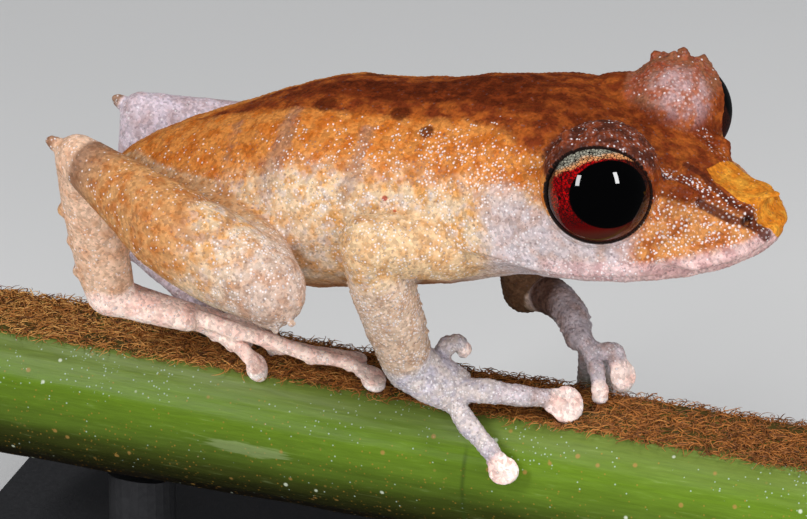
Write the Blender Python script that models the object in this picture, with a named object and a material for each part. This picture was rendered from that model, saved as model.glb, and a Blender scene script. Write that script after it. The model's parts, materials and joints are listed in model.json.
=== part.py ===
"""Small rain frog, life size, gripping a cut length of plant stem on a plain display stand.

Forms are worked out in millimetres and written to the meshes in metres.
X runs to the snout, Y to the frog's left and Z up; the origin is under the middle of the base.
"""
from math import cos, pi, radians, sin, sqrt

import bmesh
import bpy
import numpy as np
from mathutils import Matrix, Vector

MM = 0.001
GAP = 0.3          # clearance that neighbouring pieces keep

# Stand and perch
BASE_SIZE = (34.0, 20.0, 2.5)
BASE_BEVEL = 0.5
ROD_RADIUS = 1.2
ROD_X = 10.0
STEM_LENGTH = 32.6
STEM_RADIUS = 2.85
STEM_AXIS_Z = 9.05
STEM_FLAT = 2.53   # height of the flattened top above the stem's axis
STEM_FLAT_EDGE = 28.0   # degrees from the top to the edge of the flat
STEM_ARC_POINTS = 41
ROD_SEAT = 1.0     # how far under the stem's axis the rods would end, before they are cut to it

# Head pose: the point midway between the eyes, then turn and roll
EYES_MIDDLE = Vector((8.2, 0.3, 21.5))
HEAD_YAW = radians(-6.0)
HEAD_ROLL = radians(0.5)
NECK_X = 3.7

# Eyes
EYE_RADIUS = 1.65
EYE_SPREAD = 3.35  # from the head's middle plane to the centre of an eye
EYE_GAP = 0.22
LID_RADII = (1.95, 2.25, 2.08)
LID_SHIFT = (-0.25, -0.55, 0.0)   # from the eye to the middle of its lids; sideways is outward
EYE_AZIMUTH = radians(25.0)   # how far an eye looks forward of straight sideways
EYE_TILT = radians(20.0)      # how far it looks up

# Tubercles of an upper lid: turn round it from straight outward, height on it, radius
LID_TUBERCLES = ((-45, 52, 0.20), (-12, 56, 0.24), (24, 50, 0.22), (-30, 78, 0.18), (30, 76, 0.16))

# Head sections: forward of the eyes, then lip half width and height, canthus half width
# and height, top height, underside height
HEAD_SECTIONS = (
    (-3.2, 4.60, -2.60, 3.00, 0.80, 1.55, -4.85),
    (-1.8, 4.50, -2.78, 3.05, 0.65, 1.35, -4.60),
    (-0.4, 4.25, -2.80, 2.85, 0.35, 1.00, -4.30),
    (1.0, 3.98, -2.66, 2.35, -0.10, 0.52, -3.95),
    (2.2, 3.55, -2.53, 1.95, -0.56, 0.02, -3.62),
    (3.2, 2.98, -2.37, 1.55, -0.92, -0.42, -3.27),
    (3.9, 2.38, -2.26, 1.24, -1.02, -0.60, -3.00),
    (4.4, 1.78, -2.16, 0.96, -1.08, -0.72, -2.74),
    (4.7, 1.26, -2.05, 0.70, -1.20, -0.88, -2.50),
    (4.92, 0.82, -1.92, 0.46, -1.38, -1.16, -2.24),
    (5.06, 0.40, -1.76, 0.26, -1.56, -1.44, -1.98),
)
CHEEK_FULLNESS = 0.58      # half width between lip and canthus, as a share of the two together
CHIN = (0.50, 0.28)        # a point under the jaw, as shares of the lip's half width and height
CROWN = (0.50, 0.82)       # a point on top, as shares of the canthus' half width and the height
LIP_INSET = (0.42, 0.3)    # how far the lower lip steps in: at most, and as a share of the width
MOUTH_DEPTH = 0.34
MOUTH_DROP = (0.32, 0.45)  # height of the mouth line: at most, and as a share of the jaw's depth
MOUTH_FULL_WIDTH = 1.6     # half width from which the mouth line has its full depth

# Snout: rims and holes of the nostrils, each with a mirror twin, and the papilla at its tip
NOSTRIL_RIM = (4.16, 0.92, -1.18)
NOSTRIL_RIM_RADII = (0.34, 0.28, 0.3)
NOSTRIL_IN = (3.88, 0.7, -1.15)
NOSTRIL_OUT = (4.46, 1.5, -1.12)
NOSTRIL_RADIUS = 0.13
PAPILLA = (4.60, 0.0, -0.66)
PAPILLA_RADII = (0.44, 0.27, 0.20)

# Trunk sections: place along X, top, underside, half width, height of the widest level
TRUNK_SECTIONS = (
    (-10.75, 17.95, 16.85, 0.45, 17.35),
    (-10.40, 18.50, 16.30, 1.10, 17.30),
    (-9.50, 19.20, 15.75, 1.95, 17.25),
    (-8.00, 20.00, 15.30, 2.75, 17.35),
    (-6.30, 20.75, 15.10, 3.40, 17.60),
    (-4.60, 21.50, 15.10, 3.90, 17.90),
    (-2.80, 22.15, 15.25, 4.20, 18.30),
    (-1.00, 22.30, 15.50, 4.25, 18.60),
    (1.00, 22.55, 15.90, 4.20, 18.80),
    (2.60, 22.90, 16.30, 4.25, 18.95),
)
TRUNK_BEND = 0.45  # how far the trunk has swung to the left where it meets the head
TRUNK_ANGLES = (-90, -58, -24, 0, 27, 50, 71, 90)
RING_STEPS = (4, 4, 0, 3, 3, 3, 2)

# Joints of the limbs: the right side faces the viewer, the left one is the far side
RIGHT = dict(
    shoulder=(2.5, -2.9, 18.5), elbow=(0.27, -4.6, 19.0), wrist=(0.95, -2.5, 13.5),
    knuckles=(2.45, -2.0, 12.55),
    hip=(-9.0, -1.0, 17.2), thigh_mid=(-5.6, -3.2, 17.5), knee=(-2.65, -6.0, 17.45),
    shank_mid=(-6.5, -5.3, 18.7), heel=(-10.65, -3.4, 19.8), ankle=(-10.05, -2.3, 14.1),
    instep=(-7.5, -1.5, 13.35),
)
LEFT = dict(
    shoulder=(2.8, 3.3, 18.3), elbow=(2.65, 4.8, 13.15), wrist=(5.5, 2.1, 13.15),
    knuckles=(6.0, 1.85, 12.8),
    hip=(-9.0, 1.0, 17.2), thigh_mid=(-5.8, 3.3, 17.2), knee=(-3.2, 6.4, 15.9),
    shank_mid=(-7.2, 5.8, 16.55), heel=(-11.5, 4.4, 17.75), ankle=(-11.0, 3.1, 13.3),
    instep=(-9.2, 2.6, 12.3),
)

# Limb girths as half width and half depth, from the body outward
UPPER_ARM = {"right": (1.15, 1.12, 0.98), "left": (1.10, 0.95, 0.82)}
FOREARM = {"right": (1.01, 1.12, 1.01, 0.86), "left": (0.74, 0.74, 0.66, 0.52)}
FOREARM_SHARES = (0.0, 0.35, 0.72, 1.0)
FOREARM_BOW = {"right": (0.0, 0.0, 0.0), "left": (0.35, 0.0, 0.45)}
FOREARM_FLATNESS = 0.94
PALM = ((1.0, 0.85), (1.05, 0.72), (0.95, 0.55))   # as shares of the wrist's half width
PALM_TILT = 40.0
THIGH = ((1.7, 1.7), (1.85, 1.85), (1.75, 1.8), (1.45, 1.6), (1.15, 1.35))
SHANK = ((1.1, 1.28), (1.45, 1.6), (1.4, 1.55), (1.1, 1.2), (0.8, 0.82))
TARSUS = ((0.0, 0.80, 0.80), (0.4, 0.98, 0.74), (0.8, 1.00, 0.68), (1.0, 0.86, 0.68))
FOOT = ((0.76, 0.66), (0.74, 0.66), (0.78, 0.48))

# Tubercles: the heel's pointed one as offset, radii and lean, then those down the tarsus as
# share of its length and radius, with the way they stand out from its middle
HEEL_TUBERCLE = ((-0.75, 0.0, 0.35), (0.5, 0.26, 0.26), (-0.9, 0.0, 0.45))
TARSAL_TUBERCLES = ((0.4, 0.26), (0.62, 0.2), (0.84, 0.24))
TARSAL_OUTWARD = (-0.90, 0.25, 0.10)

# Shafts and pads of the digits
SHAFT_FLATNESS = 0.95
PAD_AHEAD = 0.35
PAD_LENGTH = 1.08
PAD_DEPTH = (0.5, 0.27)    # half thickness as a share of the radius, and the least allowed


def along(points, steps):
    """Points of a Catmull-Rom curve through the given points, `steps` to each span."""
    pts = np.asarray(points, float)
    first = 2 * pts[0] - pts[1]
    last = 2 * pts[-1] - pts[-2]
    ends = np.vstack([first, pts, last])
    out = []
    for i in range(1, len(ends) - 2):
        p0, p1, p2, p3 = ends[i - 1:i + 3]
        for k in range(steps):
            t = k / steps
            out.append(0.5 * (2 * p1 + (p2 - p0) * t + (2 * p0 - 5 * p1 + 4 * p2 - p3) * t ** 2
                              + (3 * p1 - p0 - 3 * p2 + p3) * t ** 3))
    out.append(pts[-1])
    return np.array(out)


def mesh_object(name, verts, faces):
    """A triangulated object, in millimetres, with its faces turned outward."""
    mesh = bpy.data.meshes.new(name)
    mesh.from_pydata([tuple(v) for v in verts], [], faces)
    bm = bmesh.new()
    bm.from_mesh(mesh)
    bmesh.ops.triangulate(bm, faces=bm.faces)
    bmesh.ops.recalc_face_normals(bm, faces=bm.faces)
    if bm.calc_volume(signed=True) < 0:
        bmesh.ops.reverse_faces(bm, faces=bm.faces)
    bm.to_mesh(mesh)
    bm.free()
    obj = bpy.data.objects.new(name, mesh)
    bpy.context.scene.collection.objects.link(obj)
    return obj


def loft(name, rings):
    """Skin over closed rings of equal length, with a fan at each end."""
    count = len(rings[0])
    verts = [v for ring in rings for v in ring]
    faces = []
    for i in range(len(rings) - 1):
        for j in range(count):
            k = (j + 1) % count
            a, b = i * count, (i + 1) * count
            faces.append((a + j, a + k, b + k, b + j))
    for ring, start in ((rings[0], 0), (rings[-1], (len(rings) - 1) * count)):
        pole = len(verts)
        verts.append(np.mean(np.array(ring), axis=0))
        for j in range(count):
            faces.append((start + j, start + (j + 1) % count, pole))
    return mesh_object(name, verts, faces)


def tube(name, stations, sides=12, steps=3, normal=(0, 0, 1), caps=(65, 35)):
    """A round-ended limb through stations of (point, half width, half depth).

    The depth is measured towards `normal`, the width square to it. Each end is rounded by
    rings at the `caps` angles.
    """
    rows = along([(*p, w, d) for p, w, d in stations], steps)
    centre, width, depth = rows[:, :3], rows[:, 3], rows[:, 4]
    tangent = np.gradient(centre, axis=0)
    tangent /= np.linalg.norm(tangent, axis=1)[:, None]
    rings = []

    def ring(c, t, w, d):
        side = np.cross(np.array(normal, float), t)
        side /= np.linalg.norm(side)
        over = np.cross(t, side)
        angles = np.arange(sides) * 2 * pi / sides
        rings.append([c + side * w * cos(a) + over * d * sin(a) for a in angles])

    for turn in [radians(c) for c in caps]:
        reach = min(width[0], depth[0]) * sin(turn)
        ring(centre[0] - tangent[0] * reach, tangent[0], width[0] * cos(turn), depth[0] * cos(turn))
    for c, t, w, d in zip(centre, tangent, width, depth):
        ring(c, t, w, d)
    for turn in [radians(c) for c in reversed(caps)]:
        reach = min(width[-1], depth[-1]) * sin(turn)
        ring(centre[-1] + tangent[-1] * reach, tangent[-1], width[-1] * cos(turn),
             depth[-1] * cos(turn))
    return loft(name, rings)


def ellipsoid(name, centre, radii, forward=(1, 0, 0), normal=(0, 0, 1), segments=14, rings=8):
    """An ellipsoid with radii along forward, sideways and normal."""
    f = Vector(forward).normalized()
    s = Vector(normal).cross(f).normalized()
    n = f.cross(s)
    c = Vector(centre)
    stack = []
    for i in range(1, rings):
        lat = -pi / 2 + pi * i / rings
        stack.append([])
        for j in range(segments):
            lon = 2 * pi * j / segments
            stack[-1].append(c + f * radii[0] * cos(lat) * cos(lon)
                             + s * radii[1] * cos(lat) * sin(lon) + n * radii[2] * sin(lat))
    verts = [v for ring in stack for v in ring]
    verts += [c - n * radii[2], c + n * radii[2]]
    low, high = len(verts) - 2, len(verts) - 1
    faces = []
    for j in range(segments):
        k = (j + 1) % segments
        faces.append((low, k, j))
        faces.append((high, (rings - 2) * segments + j, (rings - 2) * segments + k))
        for i in range(rings - 2):
            a, b = i * segments, (i + 1) * segments
            faces.append((a + j, a + k, b + k, b + j))
    return mesh_object(name, verts, faces)


def slab(name, low, high):
    """A plain box between two corners."""
    x0, y0, z0 = low
    x1, y1, z1 = high
    verts = [(x, y, z) for x in (x0, x1) for y in (y0, y1) for z in (z0, z1)]
    faces = [(0, 1, 3, 2), (4, 6, 7, 5), (0, 4, 5, 1), (2, 3, 7, 6), (0, 2, 6, 4), (1, 5, 7, 3)]
    return mesh_object(name, verts, faces)


def cylinder(name, start, end, radii, sides=20, normal=(0, 0, 1)):
    """A straight cylinder with flat ends and an elliptical section."""
    a, b = np.array(start, float), np.array(end, float)
    t = (b - a) / np.linalg.norm(b - a)
    side = np.cross(np.array(normal, float), t)
    side /= np.linalg.norm(side)
    over = np.cross(t, side)
    angles = np.arange(sides) * 2 * pi / sides
    rings = [[c + side * radii[0] * cos(q) + over * radii[1] * sin(q) for q in angles] for c in (a, b)]
    return loft(name, rings)


def copy_of(obj, name):
    twin = bpy.data.objects.new(name, obj.data.copy())
    bpy.context.scene.collection.objects.link(twin)
    return twin


def grown(obj, by=GAP):
    """A copy of a closed object whose surface lies `by` further out."""
    twin = copy_of(obj, obj.name + "_grown")
    bm = bmesh.new()
    bm.from_mesh(twin.data)
    bm.normal_update()
    for v in bm.verts:
        v.co += v.normal * by
    bm.to_mesh(twin.data)
    bm.free()
    return twin


def combine(obj, others, operation):
    """One exact Boolean of an object with a collection of closed ones, which are used up."""
    group = bpy.data.collections.new(obj.name + "_operands")
    for other in others:
        group.objects.link(other)
    step = obj.modifiers.new("combine", "BOOLEAN")
    step.operation = operation
    step.operand_type = "COLLECTION"
    step.collection = group
    step.solver = "EXACT"
    graph = bpy.context.evaluated_depsgraph_get()
    mesh = bpy.data.meshes.new_from_object(obj.evaluated_get(graph))
    obj.modifiers.remove(step)
    obj.data = mesh
    for other in others:
        bpy.data.objects.remove(other)
    bpy.data.collections.remove(group)
    return obj


def keep_largest(obj):
    """Keep only the largest closed surface of an object."""
    bm = bmesh.new()
    bm.from_mesh(obj.data)
    bmesh.ops.triangulate(bm, faces=bm.faces)
    unseen = set(bm.faces)
    shells = []
    while unseen:
        stack = [unseen.pop()]
        shell = set(stack)
        while stack:
            face = stack.pop()
            for edge in face.edges:
                for near in edge.link_faces:
                    if near in unseen:
                        unseen.remove(near)
                        shell.add(near)
                        stack.append(near)
        shells.append(shell)

    def volume(shell):
        return sum(f.verts[0].co.dot(f.verts[1].co.cross(f.verts[2].co)) for f in shell) / 6

    best = max(shells, key=volume)
    loose = [f for shell in shells if shell is not best for f in shell]
    bmesh.ops.delete(bm, geom=loose, context="FACES")
    bm.to_mesh(obj.data)
    bm.free()
    return obj


def join(obj, others):
    return combine(obj, others, "UNION")


def cut(obj, others):
    return keep_largest(combine(obj, others, "DIFFERENCE"))


def on_head(point):
    """A point given forward, left and up from between the eyes, in the part's frame."""
    turn = Matrix.Rotation(HEAD_YAW, 3, "Z") @ Matrix.Rotation(HEAD_ROLL, 3, "X")
    return EYES_MIDDLE + turn @ Vector(point)


def to_head(direction):
    turn = Matrix.Rotation(HEAD_YAW, 3, "Z") @ Matrix.Rotation(HEAD_ROLL, 3, "X")
    return turn @ Vector(direction)


def on_stem(x, angle, height):
    """A point `height` off the stem's surface, `angle` degrees from the top towards the left."""
    a = radians(angle)
    surface = min(STEM_RADIUS, STEM_FLAT / max(cos(a), 0.001))
    reach = surface + height
    return (x, reach * sin(a), STEM_AXIS_Z + reach * cos(a))


def stem_normal(angle):
    a = radians(angle) if abs(angle) > STEM_FLAT_EDGE else 0.0
    return (0.0, sin(a), cos(a))


def head_profile(section):
    """Half an outline of the head, from the underside to the top, as (sideways, up)."""
    _, lip_y, lip_z, canthus_y, canthus_z, top_z, under_z = section
    cheek_y = CHEEK_FULLNESS * (lip_y + canthus_y)
    drop = min(MOUTH_DROP[0], MOUTH_DROP[1] * (lip_z - under_z))
    inset = min(LIP_INSET[0], LIP_INSET[1] * lip_y)
    return [
        (0.0, under_z), (CHIN[0] * lip_y, under_z + CHIN[1] * (lip_z - under_z)),
        (lip_y - inset, lip_z - drop), (lip_y, lip_z),
        (cheek_y, 0.5 * (lip_z + canthus_z)), (canthus_y, canthus_z),
        (CROWN[0] * canthus_y, canthus_z + CROWN[1] * (top_z - canthus_z)), (0.0, top_z),
    ]


def trunk_profile(section):
    _, top, under, width, level = section
    out = []
    for angle in TRUNK_ANGLES:
        a = radians(angle)
        reach = top - level if a > 0 else level - under
        out.append((width * cos(a) ** 0.92, level + reach * sin(a)))
    return out


def body_sections():
    """Rows of points that run along the body, one row for each section, tail end first."""
    rows = []
    tail, neck = TRUNK_SECTIONS[0][0], TRUNK_SECTIONS[-1][0]
    for section in TRUNK_SECTIONS:
        x, profile = section[0], trunk_profile(section)
        swing = TRUNK_BEND * ((x - tail) / (neck - tail)) ** 2
        left = [(x, swing + y, z) for y, z in profile]
        right = [(x, swing - y, z) for y, z in profile]
        rows.append((left, right, 0.0))
    for section in HEAD_SECTIONS:
        profile = head_profile(section)
        depth = MOUTH_DEPTH * min(1.0, section[1] / MOUTH_FULL_WIDTH)
        left = [tuple(on_head((section[0], y, z))) for y, z in profile]
        right = [tuple(on_head((section[0], -y, z))) for y, z in profile]
        rows.append((left, right, depth))
    return rows


def body_ring(left, right, depth):
    """A closed ring: up the left side and down the right, with the mouth line pressed in."""
    ring = []
    for half, other in ((left, right), (right, left)):
        pts = [other[1]] + list(half) + [other[-2]]
        if half is right:
            pts = pts[::-1]
        pts = np.array(pts, float)
        steps = RING_STEPS if half is left else RING_STEPS[::-1]
        for i, count in enumerate(steps):
            p0, p1, p2, p3 = pts[i:i + 4]
            ring.append(p1)
            if count == 0:
                inward = 0.5 * (np.array(left[3]) + np.array(right[3])) - 0.5 * (p1 + p2)
                inward /= np.linalg.norm(inward)
                ring.append(0.5 * (p1 + p2) + inward * depth)
            for k in range(1, count):
                t = k / count
                ring.append(0.5 * (2 * p1 + (p2 - p0) * t + (2 * p0 - 5 * p1 + 4 * p2 - p3) * t ** 2
                                   + (3 * p1 - p0 - 3 * p2 + p3) * t ** 3))
    return ring


def body_loft():
    """Head and trunk as one smooth form, before they are parted at the neck."""
    rows = body_sections()
    flat = [np.concatenate([np.ravel(left), np.ravel(right), [depth]]) for left, right, depth in rows]
    rings = []
    for row in along(flat, 2):
        left, right = row[:-1].reshape(2, -1, 3)
        rings.append(body_ring(left, right, row[-1]))
    return loft("body", rings)


def eye_centre(side):
    return on_head((0.0, side * EYE_SPREAD, 0.0))


def eye_axis(side):
    return to_head((sin(EYE_AZIMUTH) * cos(EYE_TILT), side * cos(EYE_AZIMUTH) * cos(EYE_TILT),
                    sin(EYE_TILT)))


def lid_forms(side):
    """The dome of the lids round an eye, with the pointed tubercles of the upper one."""
    ahead, out, up = LID_SHIFT
    dome = on_head((ahead, side * (EYE_SPREAD + out), up))
    forms = [ellipsoid("lid", dome, LID_RADII, forward=to_head((1, 0, 0)), normal=to_head((0, 0, 1)),
                       segments=20, rings=12)]
    for lean, turn, size in LID_TUBERCLES:
        a, b = radians(lean), radians(turn)
        ray = (sin(a) * cos(b), side * cos(a) * cos(b), sin(b))
        root = dome + to_head([r * c for r, c in zip(LID_RADII, ray)])
        forms.append(ellipsoid("tubercle", root, (size * 1.4, size, size), forward=to_head(ray),
                               normal=to_head((1, 0, 0)), segments=6, rings=5))
    return forms


def build_head_and_trunk():
    body = body_loft()
    far = 60.0
    front = slab("front", (NECK_X - GAP / 2, -far, -far), (far, far, far))
    back = slab("back", (-far, -far, -far), (NECK_X + GAP / 2, far, far))
    whole = grown(body, GAP)
    head = copy_of(body, "head")
    trunk = copy_of(body, "torso")
    cut(head, [back])
    cut(trunk, [front])
    forms = []
    openings = []
    for side in (-1, 1):
        forms += lid_forms(side)
        openings.append(ellipsoid("socket", eye_centre(side), (EYE_RADIUS + EYE_GAP,) * 3,
                                  forward=eye_axis(side), segments=20, rings=12))
        rim, inner, outer = (on_head((ahead, side * out, up)) for ahead, out, up in (
            NOSTRIL_RIM, NOSTRIL_IN, NOSTRIL_OUT))
        forms.append(ellipsoid("nostril_rim", rim, NOSTRIL_RIM_RADII, segments=10, rings=6))
        openings.append(cylinder("nostril", inner, outer, (NOSTRIL_RADIUS,) * 2, sides=8))
    forms.append(ellipsoid("papilla", on_head(PAPILLA), PAPILLA_RADII, segments=12, rings=7))
    join(head, forms)
    cut(head, openings)
    bpy.data.objects.remove(body)
    return head, trunk, whole


def limb(name, stations, cutters, **shape):
    form = tube(name, stations, **shape)
    outer = grown(form)
    if cutters:
        cut(form, [copy_of(c, "cutter") for c in cutters])
    return form, outer


def girths(spots, table):
    return [(p, w, d) for p, (w, d) in zip(spots, table)]


def digit(points, root_radius, tip_radius, disc, normal):
    """A finger or toe: a slim tube through points with a flat round disc at its tip."""
    count = len(points)
    stations = []
    for i, p in enumerate(points):
        r = root_radius + (tip_radius - root_radius) * i / (count - 1)
        stations.append((p, r, r * SHAFT_FLATNESS))
    shaft = tube("digit", stations, sides=7, steps=2, normal=normal, caps=(50,))
    ahead = Vector(points[-1]) - Vector(points[-2])
    depth = max(disc * PAD_DEPTH[0], PAD_DEPTH[1])
    pad = ellipsoid("pad", Vector(points[-1]) + ahead.normalized() * disc * PAD_AHEAD,
                    (disc * PAD_LENGTH, disc, depth), forward=ahead, normal=normal,
                    segments=11, rings=6)
    return [shaft, pad]


def build_arm(side, joints, stem, whole):
    """Upper arm, forearm and hand of one side."""
    tag = "right" if side < 0 else "left"
    j = joints
    spots = (j["shoulder"], mid(j["shoulder"], j["elbow"]), j["elbow"])
    upper, upper_outer = limb("upper_arm_" + tag, list(zip(spots, UPPER_ARM[tag], UPPER_ARM[tag])), [whole])
    stations = []
    for share, width in zip(FOREARM_SHARES, FOREARM[tag]):
        bow = Vector(FOREARM_BOW[tag]) * sin(pi * share)
        stations.append((Vector(mid(j["elbow"], j["wrist"], share)) + bow, width, width * FOREARM_FLATNESS))
    fore, fore_outer = limb("forearm_" + tag, stations, [whole, upper_outer], normal=(1, 0, 0))
    slim = FOREARM[tag][-1]
    spots = (j["wrist"], mid(j["wrist"], j["knuckles"]), j["knuckles"])
    palm = tube("hand_" + tag, [(p, slim * w, slim * d) for p, (w, d) in zip(spots, PALM)],
                normal=stem_normal(PALM_TILT * side))
    pieces = []
    for points, root, tip, disc, normal in FINGERS[tag](j):
        pieces += digit(points, root, tip, disc, normal)
    join(palm, pieces)
    cut(palm, [copy_of(fore_outer, "cutter"), grown(stem)])
    for scrap in (upper_outer, fore_outer):
        bpy.data.objects.remove(scrap)
    return upper, fore, palm


def mid(a, b, share=0.5):
    return tuple(Vector(a).lerp(Vector(b), share))


def right_fingers(j):
    """Fingers I to IV of the near hand: points, root and tip radius, disc radius, pad normal."""
    k = Vector(j["knuckles"])
    return [
        ([tuple(k + Vector((-0.9, 0.3, -0.1))), on_stem(0.3, 8, 0.75), on_stem(-0.3, 18, 0.58)],
         0.36, 0.28, 0.36, stem_normal(0)),
        ([tuple(k + Vector((-0.8, 0.3, 0.75))), (2.15, -1.42, 14.15), (2.50, -1.50, 13.98)],
         0.42, 0.26, 0.32, (0.5, -0.5, 1)),
        ([tuple(k), (3.65, -2.02, 12.75), (4.65, -1.60, 12.55), (5.35, -1.08, 12.32), (5.85, -0.95, 12.12)],
         0.48, 0.29, 0.56, (0.0, -0.55, 0.83)),
        ([tuple(k + Vector((-0.1, -0.2, -0.15))), on_stem(3.06, -44, 0.76), on_stem(4.0, -55.5, 0.70),
          on_stem(4.45, -65, 0.62)], 0.42, 0.32, 0.50, stem_normal(-64)),
    ]


def left_fingers(j):
    k = Vector(j["knuckles"])
    return [
        ([tuple(k + Vector((-0.2, 0.3, 0.0))), on_stem(5.4, 62, 0.75), on_stem(5.0, 72, 0.58)],
         0.34, 0.27, 0.34, stem_normal(66)),
        ([tuple(k), (6.45, 1.20, 12.45), (6.72, 0.72, 12.20)], 0.34, 0.26, 0.32, stem_normal(0)),
        ([tuple(k), (6.80, 1.95, 12.85), (7.18, 1.72, 12.38)], 0.36, 0.31, 0.52, (0.3, -0.3, 0.9)),
        ([tuple(k + Vector((0, 0.2, -0.1))), on_stem(6.4, 62, 0.8), on_stem(6.9, 76, 0.62),
          on_stem(7.3, 88, 0.6)], 0.38, 0.30, 0.48, stem_normal(82)),
    ]


FINGERS = {"right": right_fingers, "left": left_fingers}


# Toes I to V, the fifth outermost: root offset from the instep, then stops of (place along
# the stem, angle round it, height off it), then root, tip and disc radius
TOES = {
    "right": (
        ((-0.2, 0.45, -0.1), ((-6.9, 2, 0.95), (-6.2, 6, 0.56)), 0.32, 0.26, 0.32),
        ((0.0, 0.35, 0.0), ((-6.0, 0, 0.95), (-5.1, 3, 0.56)), 0.33, 0.26, 0.34),
        ((0.1, 0.10, 0.0), ((-5.6, -12, 1.2), (-4.4, -12, 0.85), (-3.0, -9, 0.62), (-2.0, 0, 0.56)),
         0.33, 0.25, 0.40),
        ((0.0, 0.0, 0.05), ((-5.9, -19, 1.58), (-4.6, -19, 1.36), (-3.1, -20, 1.02), (-1.75, -19, 0.78),
                            (-1.05, -23.5, 0.64)), 0.34, 0.25, 0.52),
        ((-0.1, -0.1, 0.0), ((-6.66, -19, 1.22), (-6.0, -23.5, 0.93), (-5.5, -28, 0.78), (-5.15, -32, 0.62)),
         0.34, 0.26, 0.48),
    ),
    "left": (
        ((-0.2, -0.3, -0.1), ((-8.6, 32, 0.80), (-7.9, 29, 0.56)), 0.32, 0.26, 0.32),
        ((0.0, -0.2, 0.0), ((-7.6, 40, 0.85), (-6.6, 38, 0.58)), 0.33, 0.26, 0.36),
        ((0.1, -0.1, 0.0), ((-7.8, 50, 0.90), (-7.0, 54, 0.70), (-6.2, 54, 0.58)), 0.35, 0.27, 0.40),
        ((0.0, 0.1, 0.0), ((-7.4, 70, 0.90), (-6.0, 76, 0.75), (-4.8, 76, 0.64), (-4.0, 76, 0.60)),
         0.38, 0.28, 0.48),
        ((-0.1, 0.2, -0.1), ((-8.0, 88, 0.80), (-7.4, 100, 0.62)), 0.36, 0.28, 0.44),
    ),
}


def toes(tag, j):
    """Toes of a hind foot as points, root and tip radius, disc radius and pad normal."""
    rows = []
    for offset, stops, root, tip, disc in TOES[tag]:
        points = [tuple(Vector(j["instep"]) + Vector(offset))] + [on_stem(*stop) for stop in stops]
        rows.append((points, root, tip, disc, stem_normal(stops[-1][1])))
    return rows


def build_leg(side, joints, stem, whole):
    """Thigh, shank, tarsus and foot of one side."""
    tag = "right" if side < 0 else "left"
    j = joints
    spots = (j["hip"], mid(j["hip"], j["thigh_mid"]), j["thigh_mid"],
             mid(j["thigh_mid"], j["knee"], 0.6), j["knee"])
    thigh, thigh_outer = limb("thigh_" + tag, girths(spots, THIGH), [whole])
    spots = (j["knee"], mid(j["knee"], j["shank_mid"], 0.45), j["shank_mid"],
             mid(j["shank_mid"], j["heel"]), j["heel"])
    shank, shank_outer = limb("shank_" + tag, girths(spots, SHANK), [whole, thigh_outer])
    offset, radii, lean = HEEL_TUBERCLE
    join(shank, [ellipsoid("heel_tubercle", Vector(j["heel"]) + Vector(offset), radii, forward=lean,
                           segments=8, rings=6)])
    tarsus, tarsus_outer = limb(
        "tarsus_" + tag, [(mid(j["heel"], j["ankle"], share), w, d) for share, w, d in TARSUS],
        [whole, thigh_outer, shank_outer], normal=(0, 1, 0))
    bumps = []
    ahead, out, up = TARSAL_OUTWARD
    for share, size in TARSAL_TUBERCLES:
        spot = Vector(mid(j["heel"], j["ankle"], share)) + Vector((ahead, out * side, up))
        bumps.append(ellipsoid("tarsal_tubercle", spot, (size, size, size), segments=8, rings=5))
    join(tarsus, bumps)
    spots = (j["ankle"], mid(j["ankle"], j["instep"]), j["instep"])
    foot = tube("foot_" + tag, girths(spots, FOOT))
    pieces = []
    for points, root, tip, disc, normal in toes(tag, j):
        pieces += digit(points, root, tip, disc, normal)
    join(foot, pieces)
    cut(foot, [tarsus_outer, grown(stem)])
    for scrap in (thigh_outer, shank_outer):
        bpy.data.objects.remove(scrap)
    return thigh, shank, tarsus, foot


def build_stem():
    """The cut stem: round below, with the flattened top that the frog stands on."""
    edge = sqrt(STEM_RADIUS ** 2 - STEM_FLAT ** 2)
    start = np.arctan2(edge, STEM_FLAT)
    outline = [(0.0, STEM_AXIS_Z + STEM_FLAT)]
    for angle in np.linspace(start, 2 * pi - start, STEM_ARC_POINTS):
        outline.append((STEM_RADIUS * sin(angle), STEM_AXIS_Z + STEM_RADIUS * cos(angle)))
    half = STEM_LENGTH / 2
    rings = [[(x, y, z) for y, z in outline] for x in (-half, half)]
    return loft("perch_stem", rings)


def build_stand(stem):
    """A flat base and two short rods that hold the stem."""
    length, width, height = BASE_SIZE
    base = slab("stand_base", (-length / 2, -width / 2, 0.0), (length / 2, width / 2, height))
    bm = bmesh.new()
    bm.from_mesh(base.data)
    bmesh.ops.join_triangles(bm, faces=bm.faces, angle_face_threshold=0.1, angle_shape_threshold=3.0)
    upper = [e for e in bm.edges if any(v.co.z > height / 2 for v in e.verts)]
    bmesh.ops.bevel(bm, geom=upper, offset=BASE_BEVEL, segments=3, profile=0.5, affect="EDGES")
    bmesh.ops.triangulate(bm, faces=bm.faces)
    bm.to_mesh(base.data)
    bm.free()
    rods = []
    for tag, x in (("front", ROD_X), ("back", -ROD_X)):
        rod = cylinder("stand_rod_" + tag, (x, 0, height + GAP), (x, 0, STEM_AXIS_Z - ROD_SEAT),
                       (ROD_RADIUS, ROD_RADIUS), sides=24, normal=(0, 1, 0))
        cut(rod, [grown(stem)])
        rods.append(rod)
    return [base] + rods


def paint(obj, colour, roughness, metallic=0.0):
    material = bpy.data.materials.new(obj.name)
    material.use_nodes = True
    shader = material.node_tree.nodes["Principled BSDF"]
    shader.inputs["Base Color"].default_value = (*colour, 1.0)
    shader.inputs["Roughness"].default_value = roughness
    shader.inputs["Metallic"].default_value = metallic
    obj.data.materials.clear()
    obj.data.materials.append(material)


SKIN_BROWN = (0.45, 0.17, 0.06)
SKIN_ORANGE = (0.62, 0.33, 0.16)
SKIN_PINK = (0.72, 0.47, 0.35)
EYE_RED = (0.25, 0.01, 0.01)
STEM_GREEN = (0.20, 0.34, 0.08)
STAND_GREY = (0.10, 0.10, 0.11)


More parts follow.
